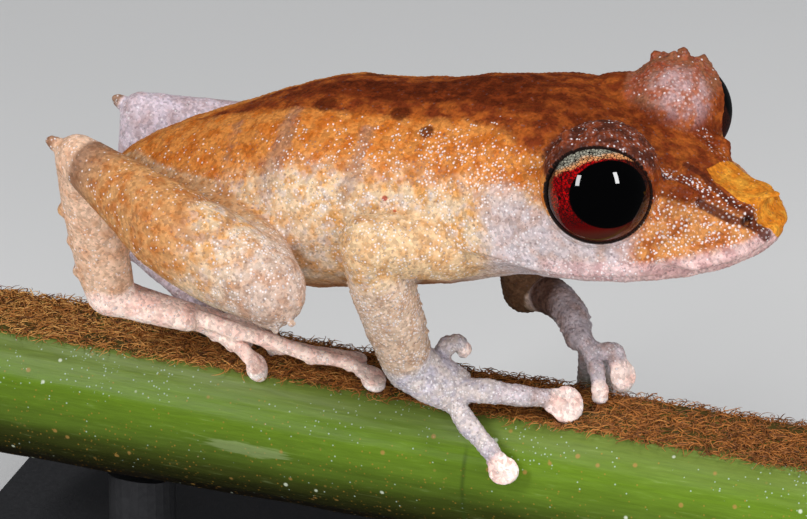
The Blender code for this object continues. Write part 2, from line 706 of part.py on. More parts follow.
def finish(pieces):
    """Write the forms in metres, smooth, each with its material."""
    for obj, colour, roughness in pieces:
        bm = bmesh.new()
        bm.from_mesh(obj.data)
        bmesh.ops.scale(bm, vec=(MM, MM, MM), verts=bm.verts)
        bm.to_mesh(obj.data)
        bm.free()
        obj.data.shade_smooth()
        obj.data.set_sharp_from_angle(angle=radians(50))
        paint(obj, colour, roughness)


def main():
    for obj in list(bpy.data.objects):
        bpy.data.objects.remove(obj)
    stem = build_stem()
    stand = build_stand(stem)
    head, trunk, whole = build_head_and_trunk()
    pieces = [(head, SKIN_BROWN, 0.4), (trunk, SKIN_BROWN, 0.4), (stem, STEM_GREEN, 0.4)]
    pieces += [(obj, STAND_GREY, 0.5) for obj in stand]
    for side, joints in ((-1, RIGHT), (1, LEFT)):
        eye = ellipsoid("eye_right" if side < 0 else "eye_left", eye_centre(side), (EYE_RADIUS,) * 3,
                        forward=eye_axis(side), segments=16, rings=10)
        pieces.append((eye, EYE_RED, 0.1))
        arm = build_arm(side, joints, stem, whole)
        leg = build_leg(side, joints, stem, whole)
        pieces += [(obj, SKIN_PINK, 0.45) for obj in arm]
        pieces += [(obj, SKIN_ORANGE, 0.45) for obj in leg]
    bpy.data.objects.remove(whole)
    finish(pieces)


main()
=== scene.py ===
"""Looks of a small rain frog on a cut stem: one granular skin, wet eyes, a stem with scurf, stand, lights.

Forms are worked out in millimetres in the part's frame and written to the meshes in metres.
X runs to the snout, Y to the frog's left and Z up.
"""
import json
from math import cos, pi, radians, sin, sqrt

import bpy
import numpy as np
from mathutils import Matrix, Vector
from mathutils.kdtree import KDTree

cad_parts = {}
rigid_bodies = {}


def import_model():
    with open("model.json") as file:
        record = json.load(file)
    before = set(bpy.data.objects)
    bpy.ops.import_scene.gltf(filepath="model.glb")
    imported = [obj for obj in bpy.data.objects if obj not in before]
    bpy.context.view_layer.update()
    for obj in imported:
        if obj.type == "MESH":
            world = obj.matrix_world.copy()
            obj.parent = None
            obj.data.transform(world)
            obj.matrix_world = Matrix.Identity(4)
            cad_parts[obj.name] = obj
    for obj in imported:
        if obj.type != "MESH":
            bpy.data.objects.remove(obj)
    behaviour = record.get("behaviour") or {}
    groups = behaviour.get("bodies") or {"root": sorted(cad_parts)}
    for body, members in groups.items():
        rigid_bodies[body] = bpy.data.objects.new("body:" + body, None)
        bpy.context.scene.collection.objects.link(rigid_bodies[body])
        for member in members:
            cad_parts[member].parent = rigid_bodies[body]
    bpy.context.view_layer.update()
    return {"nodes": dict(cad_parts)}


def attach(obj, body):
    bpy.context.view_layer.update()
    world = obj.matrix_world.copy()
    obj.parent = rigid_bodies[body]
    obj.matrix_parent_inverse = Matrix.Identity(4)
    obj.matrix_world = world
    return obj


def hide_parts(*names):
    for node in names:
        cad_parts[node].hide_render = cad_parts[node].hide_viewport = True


MM = 0.001
SEED = 7

# Camera, as the photograph was taken: turn round the frog, height above the horizon, distance
VIEW_AZIMUTH = radians(20.0)
VIEW_ELEVATION = radians(27.0)
VIEW_DISTANCE = 200.0
VIEW_TARGET = Vector((1.29, -3.96, 18.28))
SENSOR = 36.0
LENS = 267.66

# Stem that the frog stands on
STEM_LENGTH = 32.6
STEM_RADIUS = 2.85
STEM_AXIS_Z = 9.05
STEM_FLAT = 2.53
STEM_FLAT_EDGE = 28.0

# Head pose: the point midway between the eyes, then turn and roll
EYES_MIDDLE = Vector((8.2, 0.3, 21.5))
HEAD_YAW = radians(-6.0)
HEAD_ROLL = radians(0.5)
HEAD_TURN = Matrix.Rotation(HEAD_YAW, 3, "Z") @ Matrix.Rotation(HEAD_ROLL, 3, "X")

# Eyes and lids: the eye looks further forward than the gap between its lids faces
EYE_RADIUS = 1.76
EYE_SPREAD = 3.35
EYE_BACK = -0.08
EYE_AZIMUTH = radians(40.0)
EYE_TILT = radians(22.0)
OPENING_AZIMUTH = radians(25.0)
OPENING_TILT = {-1: radians(18.5), 1: radians(4.0)}
OPENING_HALF_WIDTH = {-1: radians(77.0), 1: radians(80.0)}
OPENING_HALF_HEIGHT = {-1: radians(60.0), 1: radians(50.0)}    # the far eye is half shut
PUPIL_HALF_WIDTH = 0.745   # as shares of the eye's radius
PUPIL_HALF_HEIGHT = 0.635
LID_RADII = {-1: (1.95, 2.25, 2.08), 1: (1.78, 2.25, 2.08)}
LID_SHIFT = {-1: (-0.25, -0.55, 0.0), 1: (-0.12, -0.55, 0.0)}
LID_TUBERCLES = ((-45, 52, 0.20), (-12, 56, 0.24), (24, 50, 0.22), (-30, 78, 0.18), (30, 76, 0.16),
                 (-62, 58, 0.24), (58, 62, 0.15), (33, 44, 0.18))
CANTHAL_CORNER = ((2.05, 1.82, -0.24), (0.95, 0.36, 0.30), (1.0, -0.45, -0.30))   # place, radii, lie
FAR_BROW = ((-1.5, 2.1, 0.80), (1.5, 1.2, 0.70))    # the far lid's slope back to the crown

# Head sections: forward of the eyes, then lip half width and height, canthus half width
# and height, top height, underside height
HEAD_SECTIONS = (
    (-3.2, 4.60, -2.60, 3.00, 0.80, 1.55, -4.85),
    (-1.8, 4.50, -2.78, 3.05, 0.65, 1.35, -4.60),
    (-0.4, 4.25, -2.80, 2.85, 0.35, 1.00, -4.30),
    (1.0, 3.98, -2.66, 2.35, -0.10, 0.52, -3.95),
    (2.2, 3.55, -2.53, 1.95, -0.56, 0.02, -3.62),
    (3.2, 2.98, -2.37, 1.55, -0.92, -0.42, -3.27),
    (3.9, 2.38, -2.26, 1.24, -1.02, -0.60, -3.00),
    (4.4, 1.78, -2.16, 0.96, -1.08, -0.72, -2.74),
    (4.7, 1.26, -2.05, 0.70, -1.20, -0.88, -2.50),
    (4.92, 0.82, -1.92, 0.46, -1.38, -1.16, -2.24),
    (5.06, 0.40, -1.76, 0.26, -1.56, -1.44, -1.98),
)
CHEEK_FULLNESS = 0.58      # half width between lip and canthus, as a share of the two together
CHIN = (0.50, 0.28)        # a point under the jaw, as shares of the lip's half width and height
CROWN = (0.50, 0.82)       # a point on top, as shares of the canthus' half width and the height
LIP_INSET = (0.42, 0.3)    # how far the lower lip steps in: at most, and as a share of the width
MOUTH_DEPTH = 0.34
MOUTH_DROP = (0.32, 0.45)  # height of the mouth line: at most, and as a share of the jaw's depth
MOUTH_FULL_WIDTH = 1.6     # half width from which the mouth line has its full depth
NOSTRIL = (4.34, 1.14, -1.15)
CANTHAL_STRIPE = ((1.9, 0.60, 0.13), (2.48, 0.52, -0.12), (2.96, 0.78, -0.38), (3.45, 0.92, -0.62),
                  (3.96, 1.00, -0.84), (4.39, 0.98, -0.98))
LOREAL_BAND = ((2.58, 1.56, -0.55), (2.96, 1.50, -0.76), (3.32, 1.42, -0.92), (3.85, 1.35, -1.10),
               (4.36, 1.15, -1.25))
EYE_CORNER = ((1.25, 1.95, 0.35), (1.6, 1.75, 0.08))
PAPILLA = (4.60, 0.0, -0.66)
PAPILLA_RADII = (0.46, 0.28, 0.20)

# Trunk sections: place along X, top, underside, half width, height of the widest level
TRUNK_SECTIONS = (
    (-10.75, 17.95, 16.85, 0.45, 17.35),
    (-10.40, 18.50, 16.30, 1.10, 17.30),
    (-9.50, 19.20, 15.75, 1.95, 17.25),
    (-8.00, 20.00, 15.30, 2.75, 17.35),
    (-6.30, 20.75, 15.10, 3.40, 17.60),
    (-4.60, 21.50, 15.10, 3.90, 17.90),
    (-2.80, 22.15, 15.25, 4.20, 18.30),
    (-1.00, 22.30, 15.50, 4.25, 18.60),
    (1.00, 22.55, 15.90, 4.20, 18.80),
    (2.60, 22.90, 16.30, 4.25, 18.95),
)
TRUNK_BEND = 0.45
TRUNK_ANGLES = (-90, -58, -24, 0, 27, 50, 71, 90)
RING_STEPS = (16, 16, 0, 12, 12, 12, 8)

# Joints of the limbs: the right side faces the viewer, the left one is the far side
RIGHT = dict(
    shoulder=(2.5, -2.9, 18.5), elbow=(0.27, -4.6, 19.0), wrist=(0.95, -2.5, 13.5),
    knuckles=(2.45, -2.0, 12.55),
    hip=(-9.0, -1.0, 17.2), thigh_mid=(-5.6, -3.2, 17.5), knee=(-2.65, -6.0, 17.45),
    shank_mid=(-6.5, -5.3, 18.7), heel=(-10.65, -3.4, 19.8), ankle=(-10.05, -2.3, 14.1),
    instep=(-7.5, -1.5, 13.35),
)
LEFT = dict(
    shoulder=(2.8, 3.3, 18.3), elbow=(2.65, 4.8, 13.15), wrist=(5.5, 2.1, 13.15),
    knuckles=(6.0, 1.85, 12.8),
    hip=(-9.0, 1.0, 17.2), thigh_mid=(-5.8, 3.3, 17.2), knee=(-3.2, 6.4, 15.9),
    shank_mid=(-7.2, 5.8, 16.55), heel=(-11.5, 4.4, 17.75), ankle=(-11.0, 3.1, 13.3),
    instep=(-9.2, 2.6, 12.3),
)

# Limb girths as half width and half depth, from the body outward; the right side is -1
UPPER_ARM = {-1: (1.15, 1.12, 0.98), 1: (1.10, 0.95, 0.82)}
FOREARM = {-1: (1.01, 1.12, 1.01, 0.86), 1: (0.66, 0.66, 0.58, 0.48)}
FOREARM_SHARES = (0.0, 0.35, 0.72, 1.0)
FOREARM_BOW = {-1: (0.0, 0.0, 0.0), 1: (0.35, 0.0, 0.45)}
FOREARM_FLATNESS = 0.94
PALM = ((1.0, 0.85), (1.05, 0.72), (0.95, 0.55))   # as shares of the wrist's half width
PALM_TILT = 40.0
THIGH = ((1.7, 1.7), (1.85, 1.85), (1.75, 1.8), (1.45, 1.6), (1.15, 1.35))
SHANK = ((1.1, 1.28), (1.45, 1.6), (1.4, 1.55), (1.1, 1.2), (0.8, 0.82))
FOREARM_TUBERCLES = (9, 0.43, 0.11)      # how many down each edge, their spacing and radius
KNEE_TUBERCLES = (((0.95, 0.62, -0.80), 0.15), ((0.35, 0.55, -1.22), 0.13), ((1.15, 0.35, -0.2), 0.12))
TARSUS = ((0.0, 0.80, 0.80), (0.4, 0.98, 0.74), (0.8, 1.00, 0.68), (1.0, 0.86, 0.68))
FOOT = ((0.76, 0.64), (0.72, 0.54), (0.74, 0.42))
HEEL_TUBERCLE = ((-0.75, 0.0, 0.35), (0.5, 0.26, 0.26), (-0.9, 0.0, 0.45))
TARSAL_TUBERCLES = ((0.4, 0.26), (0.62, 0.2), (0.84, 0.24))
TARSAL_OUTWARD = (-0.90, 0.25, 0.10)
PAD_DROP = 0.20            # how far a pad's middle hangs under the disc that covers it
PAD_DEPTH = 0.24
TIP_SINK = 0.15            # how far a digit's tip is let down so that its pad touches
TOE_FLAT_EDGE = 40.0       # degrees round the stem up to which a toe's disc still lies level

# The fine skin
VOXEL = 0.054
FLESH = ["head", "torso"] + [part + side for side in ("_right", "_left") for part in (
    "upper_arm", "forearm", "hand", "thigh", "shank", "tarsus", "foot")]


# Curves and closed forms, as pairs of vertex and face lists

def curve_point(p0, p1, p2, p3, t):
    """The point a share t of the way from p1 to p2, on a smooth curve through all four."""
    return 0.5 * (2 * p1 + (p2 - p0) * t + (2 * p0 - 5 * p1 + 4 * p2 - p3) * t ** 2
                  + (3 * p1 - p0 - 3 * p2 + p3) * t ** 3)


def along(points, steps):
    """Points of a smooth curve through the given points, `steps` to each span."""
    pts = np.asarray(points, float)
    ends = np.vstack([2 * pts[0] - pts[1], pts, 2 * pts[-1] - pts[-2]])
    out = [curve_point(*ends[i:i + 4], k / steps) for i in range(len(pts) - 1) for k in range(steps)]
    return np.array(out + [pts[-1]])


def loft(rings):
    """Skin over closed rings of equal length, with a fan at each end."""
    rings = np.array(rings, float)
    rows, count = rings.shape[:2]
    verts = list(rings.reshape(-1, 3)) + [rings[0].mean(0), rings[-1].mean(0)]
    faces = []
    for i in range(rows - 1):
        for j in range(count):
            k = (j + 1) % count
            a, b = i * count, (i + 1) * count
            faces.append((a + j, a + k, b + k, b + j))
    last = (rows - 1) * count
    for j in range(count):
        k = (j + 1) % count
        faces.append((k, j, rows * count))
        faces.append((last + j, last + k, rows * count + 1))
    return verts, faces


CAP_TURNS = [radians(angle) for angle in (75, 60, 45, 30, 15)]    # of the rings that close a limb's end


def tube(stations, sides=28, steps=8, normal=(0, 0, 1)):
    """A round-ended limb through stations of (point, half width, half depth)."""
    rows = along([(*p, w, d) for p, w, d in stations], steps)
    centre, width, depth = rows[:, :3], rows[:, 3], rows[:, 4]
    tangent = np.gradient(centre, axis=0)
    tangent /= np.linalg.norm(tangent, axis=1)[:, None]
    angles = np.arange(sides) * 2 * pi / sides
    rings = []

    def ring(c, t, w, d):
        side = np.cross(np.array(normal, float), t)
        side /= np.linalg.norm(side)
        over = np.cross(t, side)
        rings.append(c + np.outer(np.cos(angles), side * w) + np.outer(np.sin(angles), over * d))

    def cap(end, way, turns):
        for turn in turns:
            reach = way * min(width[end], depth[end]) * sin(turn)
            ring(centre[end] + tangent[end] * reach, tangent[end], width[end] * cos(turn),
                 depth[end] * cos(turn))

    cap(0, -1, CAP_TURNS)
    for c, t, w, d in zip(centre, tangent, width, depth):
        ring(c, t, w, d)
    cap(-1, 1, CAP_TURNS[::-1])
    return loft(rings)


def ellipsoid(centre, radii, forward=(1, 0, 0), normal=(0, 0, 1), segments=28, rings=16):
    """An ellipsoid with radii along forward, sideways and normal."""
    f = Vector(forward).normalized()
    s = Vector(normal).cross(f).normalized()
    n = f.cross(s)
    axes = np.array([f * radii[0], s * radii[1], n * radii[2]])
    lat = (np.arange(1, rings) / rings - 0.5) * pi
    lon = np.arange(segments) * 2 * pi / segments
    stack = []
    for a in lat:
        local = np.stack([cos(a) * np.cos(lon), cos(a) * np.sin(lon), np.full(segments, sin(a))], 1)
        stack.append(np.array(centre) + local @ axes)
    return loft(stack)


def ball(centre, radius, segments, rings):
    return ellipsoid(centre, (radius,) * 3, segments=segments, rings=rings)


def on_head(point):
    """A point given forward, left and up from between the eyes, in the part's frame."""
    return EYES_MIDDLE + HEAD_TURN @ Vector(point)


def to_head(direction):
    return HEAD_TURN @ Vector(direction)


def mid(a, b, share=0.5):
    return tuple(Vector(a).lerp(Vector(b), share))


def on_stem(x, angle, height):
    """A point `height` off the stem's surface, `angle` degrees from the top towards the left."""
    a = radians(angle)
    surface = min(STEM_RADIUS, STEM_FLAT / max(cos(a), 0.001))
    reach = surface + height
    return (x, reach * sin(a), STEM_AXIS_Z + reach * cos(a))


def stem_normal(angle, level_to=STEM_FLAT_EDGE):
    a = radians(angle) if abs(angle) > level_to else 0.0
    return (0.0, sin(a), cos(a))


# Head and trunk

def head_profile(section):
    """Half an outline of the head, from the underside to the top, as (sideways, up)."""
    _, lip_y, lip_z, canthus_y, canthus_z, top_z, under_z = section
    cheek_y = CHEEK_FULLNESS * (lip_y + canthus_y)
    drop = min(MOUTH_DROP[0], MOUTH_DROP[1] * (lip_z - under_z))
    inset = min(LIP_INSET[0], LIP_INSET[1] * lip_y)
    return [
        (0.0, under_z), (CHIN[0] * lip_y, under_z + CHIN[1] * (lip_z - under_z)),
        (lip_y - inset, lip_z - drop), (lip_y, lip_z),
        (cheek_y, 0.5 * (lip_z + canthus_z)), (canthus_y, canthus_z),
        (CROWN[0] * canthus_y, canthus_z + CROWN[1] * (top_z - canthus_z)), (0.0, top_z),
    ]


def trunk_profile(section):
    _, top, under, width, level = section
    out = []
    for angle in TRUNK_ANGLES:
        a = radians(angle)
        reach = top - level if a > 0 else level - under
        out.append((width * cos(a) ** 0.92, level + reach * sin(a)))
    return out


def trunk_swing(x):
    """How far the trunk's middle bends to the frog's left at a place along X."""
    tail, neck = TRUNK_SECTIONS[0][0], TRUNK_SECTIONS[-1][0]
    return TRUNK_BEND * ((x - tail) / (neck - tail)) ** 2


def body_sections():
    """Rows of points that run along the body, one row for each section, tail end first."""
    rows = []
    for section in TRUNK_SECTIONS:
        x, profile = section[0], trunk_profile(section)
        swing = trunk_swing(x)
        left = [(x, swing + y, z) for y, z in profile]
        right = [(x, swing - y, z) for y, z in profile]
        rows.append((left, right, 0.0))
    for section in HEAD_SECTIONS:
        profile = head_profile(section)
        depth = MOUTH_DEPTH * min(1.0, section[1] / MOUTH_FULL_WIDTH)
        left = [tuple(on_head((section[0], y, z))) for y, z in profile]
        right = [tuple(on_head((section[0], -y, z))) for y, z in profile]
        rows.append((left, right, depth))
    return rows


def body_ring(left, right, depth):
    """A closed ring: up the left side and down the right, with the mouth line pressed in."""
    ring = []
    for half, other in ((left, right), (right, left)):
        pts = [other[1]] + list(half) + [other[-2]]
        if half is right:
            pts = pts[::-1]
        pts = np.array(pts, float)
        steps = RING_STEPS if half is left else RING_STEPS[::-1]
        for i, count in enumerate(steps):
            p0, p1, p2, p3 = pts[i:i + 4]
            ring.append(p1)
            if count == 0:
                inward = 0.5 * (np.array(left[3]) + np.array(right[3])) - 0.5 * (p1 + p2)
                inward /= np.linalg.norm(inward)
                ring.append(0.5 * (p1 + p2) + inward * depth)
            ring += [curve_point(p0, p1, p2, p3, k / count) for k in range(1, count)]
    return ring


def body_form():
    """Head and trunk as one smooth form."""
    rows = body_sections()
    flat = [np.concatenate([np.ravel(left), np.ravel(right), [depth]]) for left, right, depth in rows]
    rings = []
    for row in along(flat, 12):
        left, right = row[:-1].reshape(2, -1, 3)
        rings.append(body_ring(left, right, row[-1]))
    return loft(rings)


def eye_centre(side):
    return on_head((EYE_BACK, side * EYE_SPREAD, 0.0))


def facing(side, azimuth, tilt):
    """The direction `azimuth` forward of straight sideways and `tilt` up, on one side of the head."""
    return to_head((sin(azimuth) * cos(tilt), side * cos(azimuth) * cos(tilt), sin(tilt)))


def lid_dome(side):
    """Middle of the dome of the lids round an eye."""
    ahead, out, up = LID_SHIFT[side]
    return on_head((ahead, side * (EYE_SPREAD + out), up))


def lid_forms(side):
    """The dome of the lids round an eye, with the pointed tubercles of the upper one."""
    dome = lid_dome(side)
    forms = [ellipsoid(dome, LID_RADII[side], forward=to_head((1, 0, 0)), normal=to_head((0, 0, 1)))]
    (ahead, out, up), radii, (along_x, along_y, along_z) = CANTHAL_CORNER
    forms.append(ellipsoid(on_head((ahead, out * side, up)), radii,
                           forward=to_head((along_x, along_y * side, along_z)), normal=to_head((0, 0, 1))))
    if side > 0:
        forms.append(ellipsoid(on_head(FAR_BROW[0]), FAR_BROW[1], forward=to_head((1, 0, 0))))
    for lean, turn, size in LID_TUBERCLES:
        a, b = radians(lean), radians(turn)
        ray = (sin(a) * cos(b), side * cos(a) * cos(b), sin(b))
        root = dome + to_head([r * c for r, c in zip(LID_RADII[side], ray)])
        forms.append(ellipsoid(root, (size * 1.4, size, size), forward=to_head(ray),
                               normal=to_head((1, 0, 0)), segments=14, rings=10))
    return forms


# Limbs

# A digit's shaft and the knobs under its joints, as shares of its radius
SHAFT_DEPTH = 0.95
SHAFT_WAIST = (0.84, 0.80)
KNOB_SINK = 0.7
KNOB_RADII = (0.7, 0.65, 0.6)
KNOB_MESH = {"segments": 16, "rings": 10}
# Parts of a disc: radii ahead and across as shares of the disc's radius, and depth in millimetres
DISC_PARTS = {"top": (0.98, 1.06, 0.10), "pad": (0.84, 0.88, PAD_DEPTH), "swelling": (0.55, 0.36, 0.15),
              "shoulder": (0.34, 0.28, 0.17)}


def digit(points, root_radius, tip_radius, disc, normal):
    """A finger or toe: a slim shaft with swollen joints, and a thin disc over a soft pad."""
    n = Vector(normal).normalized()
    stations, knobs = [], []
    last = len(points) - 1
    for i, p in enumerate(points):
        r = root_radius + (tip_radius - root_radius) * i / last
        stations.append((p, r, r * SHAFT_DEPTH))
        if i < last:
            stations.append((mid(p, points[i + 1]), r * SHAFT_WAIST[0], r * SHAFT_WAIST[1]))
        if 0 < i < last:
            under = Vector(p) - n * r * KNOB_SINK
            knobs.append(ellipsoid(under, [r * share for share in KNOB_RADII], **KNOB_MESH))
    centre, ahead = disc_place(points, disc)
    across = n.cross(ahead).normalized()

    def disc_part(name, place, **mesh):
        length, width, depth = DISC_PARTS[name]
        return ellipsoid(place, (disc * length, disc * width, depth), forward=ahead, normal=normal, **mesh)

    forms = [tube(stations, sides=20, steps=5, normal=normal), disc_part("top", centre + n * 0.06),
             disc_part("swelling", centre - ahead * disc * 0.5 + n * 0.10),
             disc_part("pad", centre - n * PAD_DROP + ahead * disc * 0.06)]
    for way in (-1, 1):
        base = centre - ahead * disc * 0.78 + across * way * disc * 0.42
        knobs.append(disc_part("shoulder", base, **KNOB_MESH))
    return forms + knobs


def disc_place(points, disc):
    """Middle of a digit's disc, and the way the digit points."""
    ahead = (Vector(points[-1]) - Vector(points[-2])).normalized()
    return Vector(points[-1]) + ahead * disc * 0.35, ahead


def forearm_points(side, j):
    return [Vector(mid(j["elbow"], j["wrist"], share)) + Vector(FOREARM_BOW[side]) * sin(pi * share)
            for share in FOREARM_SHARES]


def settled(points, root, tip, disc, normal):
    """A digit with its tip let down until the pad under its disc touches."""
    end = Vector(points[-1]) - Vector(normal).normalized() * TIP_SINK
    return list(points[:-1]) + [tuple(end)], root, tip, disc, normal


def fingers(side, j):
    """Fingers of a hand as points, root and tip radius, disc radius and pad normal."""
    rows = []
    for offset, points, *rest in FINGERS[side]:
        root = tuple(Vector(j["knuckles"]) + Vector(offset))
        rows.append(settled([root, *points], *rest))
    return rows


def arm_forms(side, j):
    spots = (j["shoulder"], mid(j["shoulder"], j["elbow"]), j["elbow"])
    forms = [tube(list(zip(spots, UPPER_ARM[side], UPPER_ARM[side])))]
    forms.append(tube([(p, w, w * FOREARM_FLATNESS) for p, w in zip(forearm_points(side, j), FOREARM[side])],
                      normal=(1, 0, 0)))
    slim = FOREARM[side][-1]
    spots = (j["wrist"], mid(j["wrist"], j["knuckles"]), j["knuckles"])
    forms.append(tube([(p, slim * w, slim * d) for p, (w, d) in zip(spots, PALM)],
                      normal=stem_normal(PALM_TILT * side)))
    forms += forearm_tubercles(side, j)
    for row in fingers(side, j):
        forms += digit(*row)
    return forms


def forearm_tubercles(side, j):
    """Small rounded tubercles in a row down each edge of the forearm."""
    count, spacing, size = FOREARM_TUBERCLES
    points = forearm_points(side, j)
    down = (points[-1] - points[0]).normalized()
    length = (points[-1] - points[0]).length
    right, _, back = view_axes()
    across = (right - down * right.dot(down)).normalized()
    forms = []
    for k in range(count):
        share = (0.9 + k * spacing) / length
        if share > 0.95:
            break
        width = np.interp(share, FOREARM_SHARES, FOREARM[side])
        for way in (-1, 1):
            spot = points[0].lerp(points[-1], share + 0.02 * way) + across * way * width * 0.97
            spot += Vector(FOREARM_BOW[side]) * sin(pi * share)
            forms.append(ball(spot, size, 10, 6))
    return forms


# Fingers I to IV, the first innermost: root offset from the knuckles, further points, then root, tip
# and disc radius, and the pad's normal
FINGERS = {
    -1: (
        ((-0.9, 0.3, -0.1), (on_stem(0.3, 8, 0.75), on_stem(-0.3, 18, 0.58)),
         0.36, 0.28, 0.36, stem_normal(0)),
        ((-0.8, 0.3, 0.75), ((1.98, -1.42, 13.92), (2.33, -1.40, 14.12), (2.62, -1.40, 13.98)),
         0.36, 0.22, 0.24, (0.6, -0.4, 0.7)),
        ((0.0, 0.0, 0.0), ((3.65, -2.02, 12.75), (4.65, -1.60, 12.55), (5.35, -1.08, 12.32),
                           (5.85, -0.95, 12.20)), 0.48, 0.27, 0.66, (0.1, -0.72, 0.68)),
        ((-0.1, -0.2, -0.15), (on_stem(3.06, -44, 0.76), on_stem(4.0, -55.5, 0.70), on_stem(4.45, -64, 0.66)),
         0.42, 0.29, 0.54, stem_normal(-64)),
    ),
    1: (
        ((-0.2, 0.3, 0.0), (on_stem(5.4, 62, 0.75), on_stem(5.0, 72, 0.58)),
         0.34, 0.27, 0.34, stem_normal(66)),
        ((0.0, 0.0, 0.0), ((6.45, 1.20, 12.45), (6.72, 0.72, 12.20)), 0.34, 0.26, 0.32, stem_normal(0)),
        ((0.0, 0.0, 0.0), ((6.80, 1.95, 12.85), (7.18, 1.72, 12.38)), 0.36, 0.31, 0.52, (0.3, -0.3, 0.9)),
        ((0.0, 0.2, -0.1), (on_stem(6.4, 62, 0.8), on_stem(6.9, 76, 0.62), on_stem(7.3, 88, 0.6)),
         0.38, 0.30, 0.48, stem_normal(82)),
    ),
}


# Toes I to V, the fifth outermost: root offset from the instep, then stops of (place along
# the stem, angle round it, height off it), then root, tip and disc radius
TOES = {
    -1: (
        ((-0.2, 0.45, -0.1), ((-6.9, 2, 0.95), (-6.2, 6, 0.56)), 0.32, 0.26, 0.32),
        ((0.0, 0.35, 0.0), ((-6.0, 0, 0.95), (-5.1, 3, 0.56)), 0.33, 0.26, 0.34),
        ((0.1, 0.10, 0.0), ((-5.6, -12, 1.2), (-4.4, -12, 0.85), (-3.0, -9, 0.62), (-2.0, 0, 0.56)),
         0.33, 0.25, 0.40),
        ((0.0, 0.0, 0.05), ((-5.9, -19, 1.58), (-4.6, -19, 1.36), (-3.1, -20, 1.05), (-1.75, -18, 0.86),
                            (-1.05, -19, 0.70)), 0.34, 0.24, 0.54),
        ((-0.1, -0.1, 0.0), ((-6.66, -17, 1.26), (-6.0, -20, 1.00), (-5.5, -23, 0.84), (-5.15, -25, 0.66)),
         0.34, 0.25, 0.50),
    ),
    1: (
        ((-0.2, -0.3, -0.1), ((-8.6, 32, 0.80), (-7.9, 29, 0.56)), 0.32, 0.26, 0.32),
        ((0.0, -0.2, 0.0), ((-7.6, 40, 0.85), (-6.6, 38, 0.58)), 0.33, 0.26, 0.36),
        ((0.1, -0.1, 0.0), ((-7.8, 50, 0.90), (-7.0, 54, 0.70), (-6.2, 54, 0.58)), 0.35, 0.27, 0.40),
        ((0.0, 0.1, 0.0), ((-7.4, 70, 0.90), (-6.0, 76, 0.75), (-4.8, 76, 0.64), (-4.0, 76, 0.60)),
         0.38, 0.28, 0.48),
        ((-0.1, 0.2, -0.1), ((-8.0, 88, 0.80), (-7.4, 100, 0.62)), 0.36, 0.28, 0.44),
    ),
}


def toes(side, j):
    """Toes of a hind foot as points, root and tip radius, disc radius and pad normal."""
    rows = []
    for offset, stops, root, tip, disc in TOES[side]:
        points = [tuple(Vector(j["instep"]) + Vector(offset))] + [on_stem(*stop) for stop in stops]
        rows.append(settled(points, root, tip, disc, stem_normal(stops[-1][1], TOE_FLAT_EDGE)))
    return rows


def girths(spots, table):
    return [(p, w, d) for p, (w, d) in zip(spots, table)]


def leg_forms(side, j):
    spots = (j["hip"], mid(j["hip"], j["thigh_mid"]), j["thigh_mid"],
             mid(j["thigh_mid"], j["knee"], 0.6), j["knee"])
    forms = [tube(girths(spots, THIGH))]
    spots = (j["knee"], mid(j["knee"], j["shank_mid"], 0.45), j["shank_mid"],
             mid(j["shank_mid"], j["heel"]), j["heel"])
    forms.append(tube(girths(spots, SHANK)))
    offset, radii, lean = HEEL_TUBERCLE
    forms.append(ellipsoid(Vector(j["heel"]) + Vector(offset), radii, forward=lean, segments=16, rings=10))
    stations = [(mid(j["heel"], j["ankle"], share), w, d) for share, w, d in TARSUS]
    forms.append(tube(stations, normal=(0, 1, 0)))
    ahead, out, up = TARSAL_OUTWARD
    for share, size in TARSAL_TUBERCLES:
        spot = Vector(mid(j["heel"], j["ankle"], share)) + Vector((ahead, out * side, up))
        forms.append(ball(spot, size, 14, 8))
    for (ahead, out, up), size in KNEE_TUBERCLES:
        spot = Vector(j["knee"]) + Vector((ahead, out * side, up))
        forms.append(ball(spot, size, 12, 8))
    spots = (j["ankle"], mid(j["ankle"], j["instep"]), j["instep"])
    forms.append(tube(girths(spots, FOOT)))
    for row in toes(side, j):
        forms += digit(*row)
    return forms


# Objects, and mesh arrays of the skin

def add_object(name, data):
    obj = bpy.data.objects.new(name, data)
    bpy.context.scene.collection.objects.link(obj)
    return obj


def placed(at, across, up, out):
    """Where an object stands: its place in millimetres and its three axes."""
    return Matrix.Translation(at * MM) @ Matrix((across, up, out)).transposed().to_4x4()


def joined(forms):
    """All closed forms as one mesh, still overlapping."""
    verts, faces = [], []
    for v, f in forms:
        start = len(verts)
        verts += [tuple(p) for p in v]
        faces += [tuple(i + start for i in face) for face in f]
    mesh = bpy.data.meshes.new("forms")
    mesh.from_pydata(verts, [], faces)
    return mesh


def remeshed(forms, voxel):
    """Vertices and quads of one even skin round all the forms."""
    source = add_object("forms", joined(forms))
    step = source.modifiers.new("skin", "REMESH")
    step.mode = "VOXEL"
    step.voxel_size = voxel
    mesh = bpy.data.meshes.new_from_object(source.evaluated_get(bpy.context.evaluated_depsgraph_get()))
    co = np.empty(len(mesh.vertices) * 3)
    mesh.vertices.foreach_get("co", co)
    quads = np.empty(len(mesh.loops), dtype=np.int32)
    mesh.loops.foreach_get("vertex_index", quads)
    bpy.data.objects.remove(source)
    return co.reshape(-1, 3), quads.reshape(-1, 4)


def normals_of(co, quads):
    face = np.cross(co[quads[:, 2]] - co[quads[:, 0]], co[quads[:, 3]] - co[quads[:, 1]])
    out = np.zeros_like(co)
    for k in range(3):
        for corner in range(4):
            out[:, k] += np.bincount(quads[:, corner], weights=face[:, k], minlength=len(co))
    return out / np.maximum(np.linalg.norm(out, axis=1), 1e-12)[:, None]


